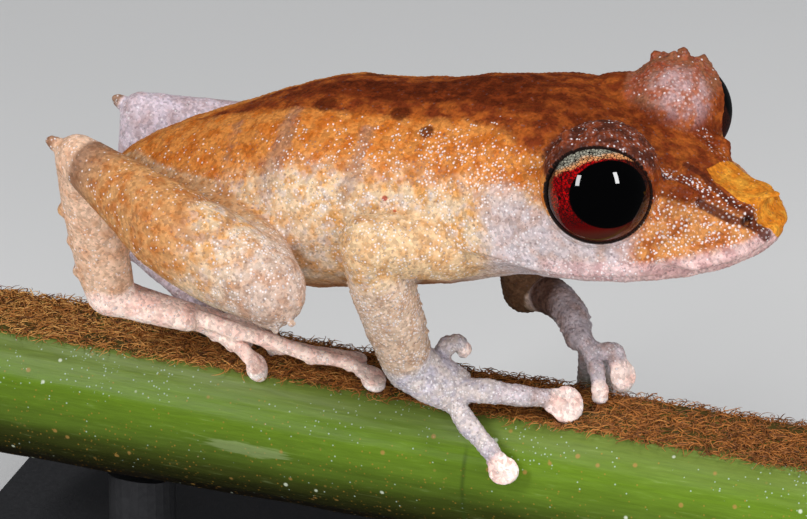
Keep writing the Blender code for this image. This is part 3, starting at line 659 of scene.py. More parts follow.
def smoothed(values, quads, rounds, amount):
    """Each value drawn towards the mean of its neighbours; amount may differ by vertex."""
    start = np.concatenate([quads[:, k] for k in range(4)])
    end = np.concatenate([quads[:, (k + 1) % 4] for k in range(4)])
    count = len(values)
    valence = np.bincount(start, minlength=count)
    flat = values.reshape(count, -1).copy()
    share = np.broadcast_to(np.asarray(amount, float), (count,))[:, None]
    for _ in range(rounds):
        mean = np.stack([np.bincount(start, weights=flat[end, k], minlength=count)
                         for k in range(flat.shape[1])], 1) / valence[:, None]
        flat += share * (mean - flat)
    return flat.reshape(values.shape)


def ramp(x, low, high):
    """0 below low, 1 above high, smooth between; low may be the larger."""
    t = np.clip((x - low) / (high - low), 0.0, 1.0)
    return t * t * (3 - 2 * t)


def line_distance(co, points):
    """Distance of each point from a chain of points, and the share of the chain's length there."""
    pts = np.asarray(points, float)
    spans = np.linalg.norm(np.diff(pts, axis=0), axis=1)
    done = np.concatenate([[0], np.cumsum(spans)])
    best = np.full(len(co), np.inf)
    share = np.zeros(len(co))
    for a, b, length, before in zip(pts[:-1], pts[1:], spans, done):
        t = np.clip((co - a) @ (b - a) / length ** 2, 0, 1)
        d = np.linalg.norm(co - a - t[:, None] * (b - a), axis=1)
        near = d < best
        best[near] = d[near]
        share[near] = (before + t[near] * length) / done[-1]
    return best, share


def blot(co, centre, radii, soft):
    """1 inside an ellipsoid along the axes, falling to 0 outside."""
    q = np.linalg.norm((co - np.array(centre)) / np.array(radii), axis=1)
    return ramp(q, 1 + soft, 1 - soft)


def head_space(co):
    """Forward, outward to the nearer side and up, from between the eyes."""
    local = (co - np.array(EYES_MIDDLE)) @ np.array(HEAD_TURN)
    return np.stack([local[:, 0], np.abs(local[:, 1]), local[:, 2]], 1)


# Sculpted lines of the head in head space: points, height (less than 0 for a groove), half width
CANTHUS_LINE = ((1.5, 1.60, 0.15), (2.15, 1.25, -0.16), (2.53, 1.13, -0.31), (3.19, 1.05, -0.62),
                (4.01, 1.03, -0.93), (4.56, 0.79, -1.10))
EAR_FOLD = ((-2.0, 3.65, 0.35), (-2.9, 4.05, -0.15), (-3.8, 4.2, -0.55), (-4.6, 4.3, -1.3), (-5.0, 4.4, -2.2))
HEAD_LINES = (
    (CANTHUS_LINE, 0.07, 0.20),
    (EAR_FOLD, 0.12, 0.28),
)
HEAD_SWELLINGS = (
    ((2.5, 2.35, -1.45), (1.3, 0.9, 0.65), -0.16),
    ((-3.1, 4.4, -1.20), (0.62, 0.7, 0.62), -0.07),
    ((0.6, 0.0, 0.9), (2.0, 1.0, 0.8), -0.08),
    ((3.0, 0.0, -0.3), (1.6, 0.45, 0.6), -0.10),
    ((4.14, 1.06, -1.10), (0.42, 0.4, 0.34), 0.09),
    (NOSTRIL, (0.17, 0.22, 0.13), -0.26),
    ((5.0, 0.4, -1.06), (0.55, 1.5, 0.36), -0.36),
)


def lip_line(drop):
    """Points along the upper lip, `drop` under its edge."""
    return [(row[0], row[1], row[2] - drop) for row in HEAD_SECTIONS]


def sculpt_head(co, normal):
    h = head_space(co)
    push = np.zeros(len(co))
    lines = HEAD_LINES + ((lip_line(-0.12), 0.05, 0.16), (lip_line(0.15), -0.12, 0.07))
    for chain, height, width in lines:
        d, _ = line_distance(h, chain)
        push += height * np.exp(-(d / width) ** 2)
    for centre, radii, height in HEAD_SWELLINGS:
        push += height * blot(h, centre, radii, 0.6)
    return co + normal * push[:, None]


def eye_frame(side, azimuth, tilt):
    """Forward, up and outward axes of something that faces out of the eye."""
    axis = facing(side, azimuth, tilt)
    ahead = (to_head((1, 0, 0)) - axis * axis.dot(to_head((1, 0, 0)))).normalized()
    up = ahead.cross(axis) * side * -1.0
    return np.array(ahead), np.array(up), np.array(axis)


def opening_gap(way, side):
    """Distance in millimetres along the eyeball from the lid's edge, less than 0 in the opening."""
    ahead, up, axis = eye_frame(side, OPENING_AZIMUTH, OPENING_TILT[side])
    arc = np.arccos(np.clip(way @ axis, -1, 1))
    turn = np.arctan2(way @ up, way @ ahead)
    edge = 1 / np.hypot(np.cos(turn) / OPENING_HALF_WIDTH[side], np.sin(turn) / OPENING_HALF_HEIGHT[side])
    return (arc - edge) * EYE_RADIUS


LID_MARGIN = 0.10          # height of the rounded lid margin over the eyeball
LID_SLOPE = 2.2            # steepest rise of the lid away from its margin
LID_FIT = 0.02             # gap between the eyeball and the skin where the margin starts
LID_ROUNDING = 0.12        # distance from the edge over which the margin rounds up to its full height
LID_FLAT = 0.05            # distance from the edge from which the lid may rise
OPENING_EDGE = (0.02, -0.06)         # distances from the edge between which the skin dips into its pocket
SKIRT = ((0.05, 0.2), (1.7, 0.9))    # distances between which the smoothing round the seat sets in and ends
POCKET = 0.3               # how far the skin dips under the eyeball's surface in the opening
SEAT_REACH = (1.1, 2.4)    # heights over the eyeball between which the seat's pull fades away
RIM_WIDTHS = ((-0.6, 0.0, 0.5), (0.11, 0.07, 0.045))  # width of the dark lid margin by height on the eye, wider low down where it is partly painted shade


def seat_eye(co, side):
    """Draw the skin down round an eyeball to a rounded lid margin, and clear the opening."""
    off = co - np.array(eye_centre(side))
    r = np.linalg.norm(off, axis=1)
    near = r < EYE_RADIUS + SEAT_REACH[1]
    way = off[near] / r[near][:, None]
    gap = opening_gap(way, side)
    lowest = EYE_RADIUS + LID_FIT + (LID_MARGIN - LID_FIT) * np.sqrt(np.clip(gap / LID_ROUNDING, 0, 1))
    highest = EYE_RADIUS + LID_MARGIN + LID_FIT + LID_SLOPE * np.maximum(gap - LID_FLAT, 0)
    pull = ramp(r[near] - EYE_RADIUS, SEAT_REACH[1], SEAT_REACH[0])
    outer = np.maximum(r[near], lowest)
    outer -= pull * np.maximum(outer - np.maximum(highest, lowest), 0)
    inside = ramp(gap, *OPENING_EDGE)
    reach = outer * (1 - inside) + np.minimum(r[near], EYE_RADIUS - POCKET) * inside
    out = co.copy()
    out[near] = np.array(eye_centre(side)) + way * reach[:, None]
    rim = np.zeros(len(co))
    width = np.interp(way @ np.array(to_head((0, 0, 1))), *RIM_WIDTHS)
    rim[near] = np.exp(-(np.maximum(gap, 0) / width) ** 2)
    skirt = np.zeros(len(co))
    skirt[near] = ramp(gap, *SKIRT[0]) * ramp(gap, *SKIRT[1]) * pull
    return out, rim, skirt


def scatter(points, spacing, chosen_from, rng):
    """Indices of points at least `spacing` apart, drawn at random."""
    keys = np.floor(points / spacing).astype(int)
    reach = spacing ** 2
    grid = {}
    out = []
    for i in rng.permutation(chosen_from):
        x, y, z = points[i]
        kx, ky, kz = keys[i]
        clear = True
        for cx in (kx - 1, kx, kx + 1):
            for cy in (ky - 1, ky, ky + 1):
                for cz in (kz - 1, kz, kz + 1):
                    for px, py, pz in grid.get((cx, cy, cz), ()):
                        if (px - x) ** 2 + (py - y) ** 2 + (pz - z) ** 2 < reach:
                            clear = False
                            break
        if clear:
            grid.setdefault((kx, ky, kz), []).append((x, y, z))
            out.append(i)
    return np.array(out)


def bumps(tree, points, seeds, radius, height):
    """Height of rounded bumps at the seeds, and how far up its bump each vertex is."""
    field = np.zeros(len(points))
    top = np.zeros(len(points))
    for i, r, h in zip(seeds, radius, height):
        for _, k, d in tree.find_range(points[i], r):
            rise = (1 - (d / r) ** 2) ** 1.5
            field[k] = max(field[k], rise * h)
            top[k] = max(top[k], rise)
    return field, top


def trunk_turn(co):
    """How far round the trunk each point is, in degrees: 90 on top, 0 at the side."""
    table = np.array(TRUNK_SECTIONS)
    x = np.clip(co[:, 0], table[0, 0], 4.0)
    top, under, width, level = (np.interp(x, table[:, 0], table[:, k]) for k in (1, 2, 3, 4))
    rise = co[:, 2] - level
    up = rise / np.where(rise > 0, top - level, level - under)
    out = (co[:, 1] - trunk_swing(x)) / width
    return np.degrees(np.arctan2(up, np.abs(out)))


def near_chain(co, points, radii):
    """Distance from a chain as a share of its radius there."""
    d, share = line_distance(co, [tuple(p) for p in points])
    return d / np.interp(share, np.linspace(0, 1, len(radii)), radii)


def limb_masks(co):
    """Where each kind of limb is, and the tops and pads of the discs."""
    masks = {}

    def add(name, mask):
        masks[name] = np.maximum(masks.get(name, 0.0), mask)

    for side, j in ((-1, RIGHT), (1, LEFT)):
        chains = (
            ("upper_arm", (j["shoulder"], j["elbow"]), UPPER_ARM[side], 1.25, 1.05),
            ("forearm", forearm_points(side, j)[1:], FOREARM[side][1:], 1.35, 1.05),
            ("hand", (j["wrist"], j["knuckles"]), (0.85, 0.85), 1.35, 1.05),
            ("thigh", (j["hip"], j["thigh_mid"], j["knee"]), (1.7, 1.8, 1.15), 1.2, 1.03),
            ("shank", (j["knee"], j["shank_mid"], j["heel"]), (1.0, 1.55, 0.85), 1.22, 1.03),
            ("tarsus", (j["heel"], j["ankle"]), (0.8, 1.0), 1.3, 1.05),
            ("foot", (j["ankle"], j["instep"]), (0.75, 0.75), 1.35, 1.05),
        )
        for name, points, radii, outer, inner in chains:
            add(name, ramp(near_chain(co, points, radii), outer, inner))
        for name, radius, soft in (("knee", 1.9, 0.6), ("heel", 1.75, 0.5)):
            add(name, blot(co, j[name], (radius,) * 3, soft))
        for rows, name in ((fingers(side, j), "hand"), (toes(side, j), "foot")):
            for points, root, _, disc, normal in rows:
                d, _ = line_distance(co, points)
                add(name, ramp(d, root + 0.35, root + 0.1))
                centre, ahead = disc_place(points, disc)
                around = blot(co, centre, (disc * 1.15,) * 3, 0.25)
                below = (co - np.array(centre)) @ -np.array(Vector(normal).normalized())
                add("disc", around)
                add("pad", around * ramp(below, 0.08, 0.2))
    return masks


# Marks of the trunk in the part's frame: points of a line, half width
FLANK_BARS = (
    (((-0.70, -2.0, 21.8), (-0.72, -3.16, 20.9), (-0.95, -3.7, 20.1)), 0.16),
    (((-3.50, -0.9, 21.8), (-3.52, -2.4, 21.2), (-3.8, -3.2, 20.4), (-4.0, -3.6, 19.7)), 0.20),
    (((-5.6, -1.2, 20.7), (-5.5, -2.4, 20.0)), 0.16),
)
BACK_BLOTCHES = (((1.38, -1.92, 22.08), 0.26), ((0.2, -1.2, 22.2), 0.35), ((-2.6, -1.0, 22.1), 0.4),
                 ((1.2, 1.6, 22.1), 0.35), ((-1.8, 1.9, 21.9), 0.4))
RED_SPOTS = (((0.49, -3.55, 20.24), 0.10), ((0.88, -3.67, 19.84), 0.09), ((-0.2, 3.9, 20.1), 0.10))
# A brown ring on the near shank: middle, lie along the axes, radius and width; and a line on the elbow
SHANK_RING = ((-5.0, -5.98, 19.81), (1.0, 1.2, 0.75), 0.85, 0.22)
ELBOW_MARK = ((-0.55, -4.75, 19.75), (-0.35, -4.9, 19.95), (0.05, -4.85, 20.0), (0.2, -4.8, 19.8))
# Edges of the trunk's zones: places along X, and degrees round the trunk there
BROWN_EDGE = ((-9.5, -8, -6, -4, -2, 0, 1.6, 3, 5), (96, 93, 84, 76, 71, 69, 67, 64, 62))
ORANGE_EDGE = ((-9.0, -6.5, -4.0, 0.5, 3.0), (2, 12, 22, 18, 12))
# Near edge of the yellow snout: places forward in head space, and how far to the left it lies there
SNOUT_EDGE = ((2.38, 2.84, 3.45, 4.09, 4.65, 4.9), (-0.12, -0.44, -0.62, -0.78, -0.72, -0.60))


def markings(co):
    """Named masks, from 0 to 1, that the skin's material mixes its colours by."""
    h = head_space(co)
    f, _, u = h.T
    signed = ((co - np.array(EYES_MIDDLE)) @ np.array(HEAD_TURN))[:, 1]
    turn = trunk_turn(co)
    front = ramp(co[:, 0], 3.2, 5.2)
    table = np.array(HEAD_SECTIONS)
    lip, canthus = (np.interp(f, table[:, 0], table[:, k]) for k in (2, 4))
    over_lip, over_canthus = u - lip, u - canthus
    masks = limb_masks(co)
    far = ramp(co[:, 1], 0.6, 1.4)
    limb = np.max([masks[n] for n in ("forearm", "thigh", "shank", "tarsus", "foot", "hand")], axis=0)
    masks["far"] = limb * far
    # Painted shade: the far arm under the head is painted dark brown, and it takes no white or coarse grains.
    masks["far_arm_shade"] = np.maximum(masks["forearm"], masks["upper_arm"]) * far * ramp(co[:, 0], 6.3, 5.3)
    body = 1 - limb

    def joined_mask(trunk, head):
        return trunk * (1 - front) + head * front

    edge = np.interp(co[:, 0], *BROWN_EDGE)
    behind = ramp(f, 1.2, 0.0)
    masks["flank"] = joined_mask(ramp(turn, -52, -12), ramp(over_lip, -0.9, 0.4))
    masks["throat"] = ramp(co[:, 0], 1.8, 3.4) * ramp(over_lip, -0.3, -0.9)
    low = np.interp(co[:, 0], *ORANGE_EDGE)
    masks["orange"] = joined_mask(ramp(turn, low, low + 34), behind * ramp(over_canthus, -1.7, -0.4) + (
        1 - behind)) * body
    masks["brown"] = joined_mask(ramp(turn, edge - 9, edge + 5), ramp(over_canthus, -0.25, 0.3)) * body
    masks["umber"] = joined_mask(ramp(turn, edge + 4, edge + 16) * ramp(co[:, 0], -6.5, -2.5),
                                 ramp(over_canthus, 0.1, 0.6) * ramp(f, 1.6, 0.2) * 0.45) * body
    masks["lores"] = front * ramp(f, 0.5, 2.1) * ramp(over_lip, 0.1, 0.85) * ramp(over_canthus, 0.5, -0.3)
    masks["lip"] = front * ramp(f, -2.5, -0.5) * ramp(over_lip, -0.9, -0.5) * ramp(over_lip, 0.75, 0.35)
    masks["lilac"] = front * ramp(f, -5.0, -3.8) * ramp(f, 2.0, 0.9) * ramp(u, -0.25, -0.95)
    near_edge = np.maximum(np.interp(f, *SNOUT_EDGE), np.interp(u, (-2.1, -1.6), (-0.1, -0.7)))
    patch = ramp(signed, near_edge - 0.07, near_edge + 0.07) * ramp(signed, 1.5, 1.3)
    masks["snout"] = front * patch * ramp(f - 0.25 * signed, 2.3, 2.46) * ramp(u, -2.2, -2.0)
    border, along_it = line_distance(h, CANTHAL_STRIPE)
    masks["border"] = ramp(border, np.interp(along_it, (0, 1), (0.30, 0.18)), 0.05) * (signed < 0.1)
    band, along_it = line_distance(h, LOREAL_BAND)
    hole, _ = line_distance(h, (NOSTRIL, (4.73, 0.90, -1.37), (4.85, 0.86, -1.63)))
    spot, _ = line_distance(h, EYE_CORNER)
    band = ramp(band, np.interp(along_it, (0, 1), (0.24, 0.34)), 0.06)
    dark = np.max([band, ramp(hole, 0.36, 0.14), ramp(spot, 0.26, 0.06)], axis=0)
    masks["band"] = dark * ramp(signed, 0.5, 0.2)
    # The nostril's pit, which the material paints black as painted shade.
    masks["nostril"] = blot(h, NOSTRIL, (0.2, 0.25, 0.15), 0.4)
    line, _ = line_distance(h, CANTHUS_LINE)
    masks["ridge"] = ramp(line, 0.42, 0.16) * (0.9 - 0.6 * (signed > 0))
    for side, name, low in ((-1, "lid_near", 0.35), (1, "lid_far", 0.8)):
        off = (co - np.array(lid_dome(side))) @ np.array(HEAD_TURN)
        q = np.linalg.norm(off / np.array(LID_RADII[side]), axis=1)
        masks[name] = ramp(q, 1.18, 1.05) * ramp(u, low, low + 0.7) * (signed * side > 0)
    # A pale patch on the far lid: partly the lid's own pinkish tone, partly painted sheen.
    masks["pale_lid_and_sheen"] = blot(h, (0.72, 1.84, 1.61), (1.1, 0.9, 1.0), 0.8) * (signed > 0)
    masks["tympanum"] = blot(h, (-3.08, 4.26, -0.9), (0.95, 0.9, 0.85), 0.5)

    bars = np.zeros(len(co))
    for points, width in FLANK_BARS:
        d, _ = line_distance(co, points)
        bars = np.maximum(bars, ramp(d, width * 3.0, 0.0))
    masks["bars"] = bars
    masks["blotch"] = np.max([blot(co, p, (r, r, r), 0.7) for p, r in BACK_BLOTCHES], axis=0)
    masks["red"] = np.max([blot(co, p, (r, r, r), 0.7) for p, r in RED_SPOTS], axis=0)
    centre, lie, radius, width = SHANK_RING
    around = np.linalg.norm((co - np.array(centre)) / np.array(lie), axis=1)
    elbow, _ = line_distance(co, ELBOW_MARK)
    masks["smudge"] = np.maximum(ramp(np.abs(around - radius), width * 1.6, 0.0), ramp(elbow, 0.22, 0.06))

    side_on = ramp(turn, -30, 0) * ramp(turn, 72, 46)
    ahead = ramp(co[:, 0], -6.0, 0.5)
    masks["salt_and_glint"] = layered(masks, joined_mask(side_on * (0.25 + 0.6 * ahead), 0.8 * ramp(
        f, 0.6, -2.0) * ramp(over_canthus, 0.4, -0.4)), SALT_AND_GLINT)
    masks["pepper"] = layered(masks, 0.14 + 0.38 * side_on, PEPPERED)
    masks["coarse_and_glint"] = layered(masks, 0 * u, COARSE_AND_GLINT)
    return masks


# How much of each zone the white grains, the dark grains and the larger white granules take; the white of the
# grains and granule tops is partly the skin's pale granules and partly painted glints of the wet skin
SALT_AND_GLINT = (("brown", 0.0), ("lores", 0.9), ("lilac", 0.75), ("lid_near", 0.26), ("lid_far", 0.1),
        ("upper_arm", 0.6), ("thigh", 0.12), ("shank", 0.18), ("tarsus", 0.25), ("foot", 0.4), ("knee", 0.7),
        ("forearm", 0.95), ("hand", 0.8), ("far_arm_shade", 0.0), ("snout", 0.0), ("disc", 0.1), ("band", 0.2),
        ("border", 0.05), ("ridge", 1.0))
PEPPERED = (("lilac", 0.8), ("lip", 0.9), ("forearm", 0.75), ("shank", 0.2), ("tarsus", 0.15), ("knee", 0.75),
            ("hand", 0.75), ("foot", 0.12), ("snout", 0.25), ("disc", 0.0), ("tympanum", 0.9))
COARSE_AND_GLINT = (("lores", 0.75), ("lid_near", 0.10), ("lid_far", 0.08), ("pale_lid_and_sheen", 0.35), ("forearm", 0.25),
          ("far_arm_shade", 0.0), ("band", 0.3), ("ridge", 1.0), ("snout", 0.0))


def layered(masks, start, layers):
    """A value over the skin that each named zone in turn replaces by its own."""
    value = start
    for name, amount in layers:
        value = value * (1 - masks[name]) + amount * masks[name]
    return value


# Parts that the smoothing spares: spots in head space as middle and radii, and heights of hands and feet
FIRM_SPOTS = (((0, 3.4, 0), (2.4, 2.4, 2.4)), ((4.5, 0, -0.8), (0.9, 1.4, 0.9)))
FIRM_FEET = (14.8, 13.8)
FIRMNESS = 0.6
SKIN_ROUNDS = 16           # rounds of smoothing of the whole skin, and of that round the eyes
SEAT_ROUNDS = 10
ROUND_AMOUNT = 0.5


def main_skin():
    """The seamless skin: all forms joined, smoothed and sculpted, with its relief and its masks."""
    rng = np.random.default_rng(SEED)
    forms = [body_form(), ellipsoid(on_head(PAPILLA), PAPILLA_RADII, forward=to_head((1, 0, 0.25)))]
    for side, joints in ((-1, RIGHT), (1, LEFT)):
        forms += lid_forms(side) + arm_forms(side, joints) + leg_forms(side, joints)
    co, quads = remeshed(forms, VOXEL)
    h = head_space(co)
    firm = np.max([ramp(co[:, 2], *FIRM_FEET)] + [blot(h, *spot, 0.3) for spot in FIRM_SPOTS], axis=0)
    co = smoothed(co, quads, SKIN_ROUNDS, ROUND_AMOUNT * (1 - FIRMNESS * firm))
    co = sculpt_head(co, normals_of(co, quads))
    rims = np.zeros(len(co))
    for side in (-1, 1):
        co, _, skirt = seat_eye(co, side)
        co = smoothed(co, quads, SEAT_ROUNDS, ROUND_AMOUNT * skirt)
        co, rim, _ = seat_eye(co, side)
        rims = np.maximum(rims, rim)
    normal = normals_of(co, quads)
    masks = markings(co)
    masks["rim"] = rims
    tree = KDTree(len(co))
    for i, p in enumerate(co):
        tree.insert(p, i)
    tree.balance()
    relief, top = skin_relief(co, tree, masks, rng)
    co = co + normal * relief[:, None]
    masks["granule"] = top
    skin = mesh_from("skin", co, quads)
    for name, mask in masks.items():
        layer = skin.data.attributes.new(name, "FLOAT", "POINT")
        layer.data.foreach_set("value", np.ascontiguousarray(mask, dtype=np.float32))
    return skin


# How rough each zone is, then spacing, tries, and ranges of the lumps and the granules; a granule's
# radius and height are those on smooth skin, and what full roughness adds to them
ROUGHNESS = {"lores": 1.0, "ridge": 0.8, "lid_near": 1.0, "lid_far": 1.0, "forearm": 0.8, "hand": 0.7,
             "upper_arm": 0.6, "orange": 0.45, "knee": 0.5}
LUMP_SPACING, LUMP_TRIES = 0.85, 40000
LUMP_RADIUS, LUMP_HEIGHT = (0.45, 0.75), (0.0, 0.055)
GRANULE_SPACING, GRANULE_TRIES = 0.155, 400000
GRANULE_SIZE = (0.65, 1.25)
GRANULE_RADIUS, GRANULE_HEIGHT = (0.082, 0.016), (0.009, 0.026)


def skin_relief(co, tree, masks, rng):
    """Soft lumps, and small round granules all over that are larger where the skin is rough."""
    rough = np.max([amount * masks[name] for name, amount in ROUGHNESS.items()], axis=0)
    smooth = np.max([masks["disc"], masks["rim"], masks["snout"] * 0.8], axis=0)
    free = np.where(smooth < 0.5)[0]

    def seeds_at(spacing, tries):
        picked = rng.choice(free, size=min(len(free), tries), replace=False)
        return scatter(co, spacing, picked, rng)

    lumps = seeds_at(LUMP_SPACING, LUMP_TRIES)
    radius = rng.uniform(*LUMP_RADIUS, len(lumps))
    swell, _ = bumps(tree, co, lumps, radius, rng.uniform(*LUMP_HEIGHT, len(lumps)))
    seeds = seeds_at(GRANULE_SPACING, GRANULE_TRIES)
    size = rng.uniform(*GRANULE_SIZE, len(seeds))
    radius = (GRANULE_RADIUS[0] + GRANULE_RADIUS[1] * rough[seeds]) * size
    height = (GRANULE_HEIGHT[0] + GRANULE_HEIGHT[1] * rough[seeds]) * size
    grains, top = bumps(tree, co, seeds, radius, height)
    return swell + grains, top


def mesh_from(name, co, faces, smooth=True):
    """An object in metres from points in millimetres."""
    mesh = bpy.data.meshes.new(name)
    faces = np.asarray(faces)
    mesh.vertices.add(len(co))
    mesh.vertices.foreach_set("co", np.ascontiguousarray(co * MM, dtype=np.float32).ravel())
    mesh.loops.add(faces.size)
    mesh.loops.foreach_set("vertex_index", faces.ravel().astype(np.int32))
    mesh.polygons.add(len(faces))
    mesh.polygons.foreach_set("loop_start", np.arange(0, faces.size, faces.shape[1], dtype=np.int32))
    mesh.update(calc_edges=True)
    mesh.validate()
    if smooth:
        mesh.shade_smooth()
    return add_object(name, mesh)


# Material nodes

class Shade:
    """A material under construction, with short calls for the nodes that it uses."""

    def __init__(self, name):
        self.material = bpy.data.materials.new(name)
        self.material.use_nodes = True
        self.nodes = self.material.node_tree.nodes
        self.links = self.material.node_tree.links
        self.shader = self.nodes["Principled BSDF"]

    def put(self, kind, inputs, **settings):
        node = self.nodes.new(kind)
        for name, value in settings.items():
            setattr(node, name, value)
        for key, value in inputs.items():
            self.feed(node.inputs[key], value)
        return node

    def feed(self, socket, value):
        if isinstance(value, bpy.types.NodeSocket):
            self.links.new(value, socket)
        elif isinstance(value, tuple) and len(value) == 3 and socket.type == "RGBA":
            socket.default_value = (*value, 1.0)
        else:
            socket.default_value = value

    def place(self):
        return self.put("ShaderNodeTexCoord", {}).outputs["Object"]

    def mask(self, name):
        return self.put("ShaderNodeAttribute", {}, attribute_name=name).outputs["Fac"]

    def maths(self, operation, a, b=0.0):
        return self.put("ShaderNodeMath", {0: a, 1: b}, operation=operation).outputs[0]

    def times(self, a, b):
        return self.maths("MULTIPLY", a, b)

    def plus(self, a, b):
        return self.maths("ADD", a, b)

    def shaken(self, value, noise, amount):
        """A value moved up and down by noise about 0.5."""
        return self.plus(value, self.times(self.maths("SUBTRACT", noise, 0.5), amount))

    def paint(self, colour, mask, cover, tint):
        """A tint over a colour where the mask is, as thick as cover says."""
        return self.mix(self.times(mask, cover), colour, tint)

    def mix(self, factor, a, b, blend="MIX"):
        node = self.put("ShaderNodeMix", {0: factor, 6: a, 7: b}, data_type="RGBA", blend_type=blend)
        return node.outputs[2]

    def step(self, value, low, high):
        node = self.put("ShaderNodeMapRange", {"Value": value, "From Min": low, "From Max": high},
                        interpolation_type="SMOOTHSTEP")
        return node.outputs["Result"]

    def noise(self, size, detail=3.0, place=None):
        """Noise about 0.5 with lumps of the given size in millimetres."""
        node = self.put("ShaderNodeTexNoise", {"Vector": place or self.place(), "Scale": 1 / (size * MM),
                                               "Detail": detail})
        return node.outputs["Fac"]

    def cells(self, size, place=None, feature="F1"):
        """Outputs of a pattern of cells of the given size in millimetres."""
        return self.put("ShaderNodeTexVoronoi", {"Vector": place or self.place(), "Scale": 1 / (size * MM)},
                        feature=feature).outputs

    def chances(self, cells):
        """Three random values from 0 to 1 for each cell."""
        return self.put("ShaderNodeSeparateColor", {"Color": cells["Color"]}).outputs

    def ramp(self, value, stops):
        node = self.put("ShaderNodeValToRGB", {"Fac": value})
        band = node.color_ramp
        while len(band.elements) < len(stops):
            band.elements.new(0.5)
        for element, (at, colour) in zip(band.elements, stops):
            element.position = at
            element.color = (*colour, 1.0)
        return node.outputs["Color"]

    def ragged(self, mask, noise, amount, width):
        """A soft mask made crisper, with an edge that noise breaks up."""
        return self.step(self.shaken(mask, noise, amount), 0.5 - width, 0.5 + width)

    def moved(self, offset):
        return self.put("ShaderNodeMapping", {"Vector": self.place(), "Location": offset}).outputs[0]

    def dots(self, size, share, radius, shift=0.0):
        """Round dots in cells of the given size, in as many of the cells as share says."""
        cells = self.cells(size, self.moved((shift * MM,) * 3))
        shown = self.maths("LESS_THAN", self.chances(cells)[0], share)
        return self.times(self.step(cells["Distance"], radius + 0.1, radius - 0.1), shown)

    def bump(self, height, distance, strength, normal=None):
        inputs = {"Height": height, "Distance": distance * MM, "Strength": strength}
        if normal is not None:
            inputs["Normal"] = normal
        return self.put("ShaderNodeBump", inputs).outputs["Normal"]

    def finish(self, **inputs):
        for name, value in inputs.items():
            self.feed(self.shader.inputs[name.replace("_", " ")], value)
        return self.material


# Palette of the skin, each zone as (main colour, colour of its blotches)
# The belly's colours are its own brownish tone, darkened further as painted shade under the trunk.
BELLY_AND_SHADE = ((0.31, 0.14, 0.060), (0.22, 0.085, 0.035))
THROAT = ((0.52, 0.39, 0.33), (0.40, 0.27, 0.21))
CREAM = ((0.62, 0.45, 0.29), (0.56, 0.28, 0.09))
LILAC = (0.50, 0.43, 0.42)
ORANGE = ((0.52, 0.190, 0.040), (0.42, 0.110, 0.012))
BROWN = ((0.150, 0.025, 0.005), (0.300, 0.070, 0.010))
UMBER = ((0.080, 0.012, 0.002), (0.150, 0.025, 0.004))
BAR = (0.22, 0.14, 0.115)
THIGH_BLOTCH = (0.35, 0.14, 0.045)
FOOT_BLOTCH = (0.88, 0.58, 0.50)
LIMBS = (
    ("upper_arm", (0.62, 0.42, 0.24), (0.52, 0.29, 0.13)),
    ("forearm", (0.60, 0.44, 0.33), (0.48, 0.31, 0.21)),
    ("hand", (0.56, 0.49, 0.47), (0.46, 0.43, 0.50)),
    ("thigh", (0.42, 0.22, 0.10), THIGH_BLOTCH),
    ("shank", (0.50, 0.235, 0.080), (0.41, 0.135, 0.030)),
    ("knee", (0.52, 0.40, 0.34), (0.44, 0.27, 0.19)),
    ("heel", (0.28, 0.155, 0.10), (0.21, 0.105, 0.060)),
    ("tarsus", (0.72, 0.48, 0.34), (0.60, 0.34, 0.21)),
    # The foot's pale pink is raised further as painted light on a foot that lies in the leg's shade.
    ("foot", (0.97, 0.74, 0.65), FOOT_BLOTCH),
    ("far", (0.58, 0.49, 0.55), (0.46, 0.35, 0.37)),
    # The far arm's colour here is painted shade under the head, in dark brown.
    ("far_arm_shade", (0.120, 0.056, 0.030), (0.080, 0.035, 0.020)),
)
LIMB_COVER = 0.94
HEAD = (
    ("lilac", (0.53, 0.46, 0.49), (0.46, 0.34, 0.32), 0.88),
    ("lip", (0.60, 0.43, 0.42), (0.48, 0.30, 0.30), 0.9),
    ("lores", (0.48, 0.20, 0.060), (0.34, 0.090, 0.018), 0.92),
    ("lid_far", (0.24, 0.090, 0.042), (0.27, 0.060, 0.028), 0.90),
    # The far lid's pale patch, partly its own pink and partly painted sheen.
    ("pale_lid_and_sheen", (0.46, 0.31, 0.32), (0.34, 0.12, 0.07), 0.7),
    ("lid_near", (0.070, 0.018, 0.010), (0.19, 0.040, 0.014), 0.95),
    ("tympanum", (0.50, 0.41, 0.40), (0.40, 0.29, 0.26), 0.7),
)
YELLOW = ((0.52, 0.165, 0.012), (0.60, 0.26, 0.028))
DARK = (0.075, 0.014, 0.006)
BLACK = (0.010, 0.005, 0.004)
# White of the skin's pale grains, which also stands in for painted glints on the wet granules.
WHITE_AND_GLINT = (0.84, 0.80, 0.82)
PEPPER = (0.12, 0.090, 0.100)
PEACH = (0.96, 0.76, 0.68)
PAD = (0.96, 0.86, 0.82)
RED = (0.36, 0.030, 0.015)
GRAIN = 0.098              # size in millimetres of the skin's finest grains
GRAIN_TONES = (0.74, 0.54)    # least tone of a grain, and how much the brightest adds to it

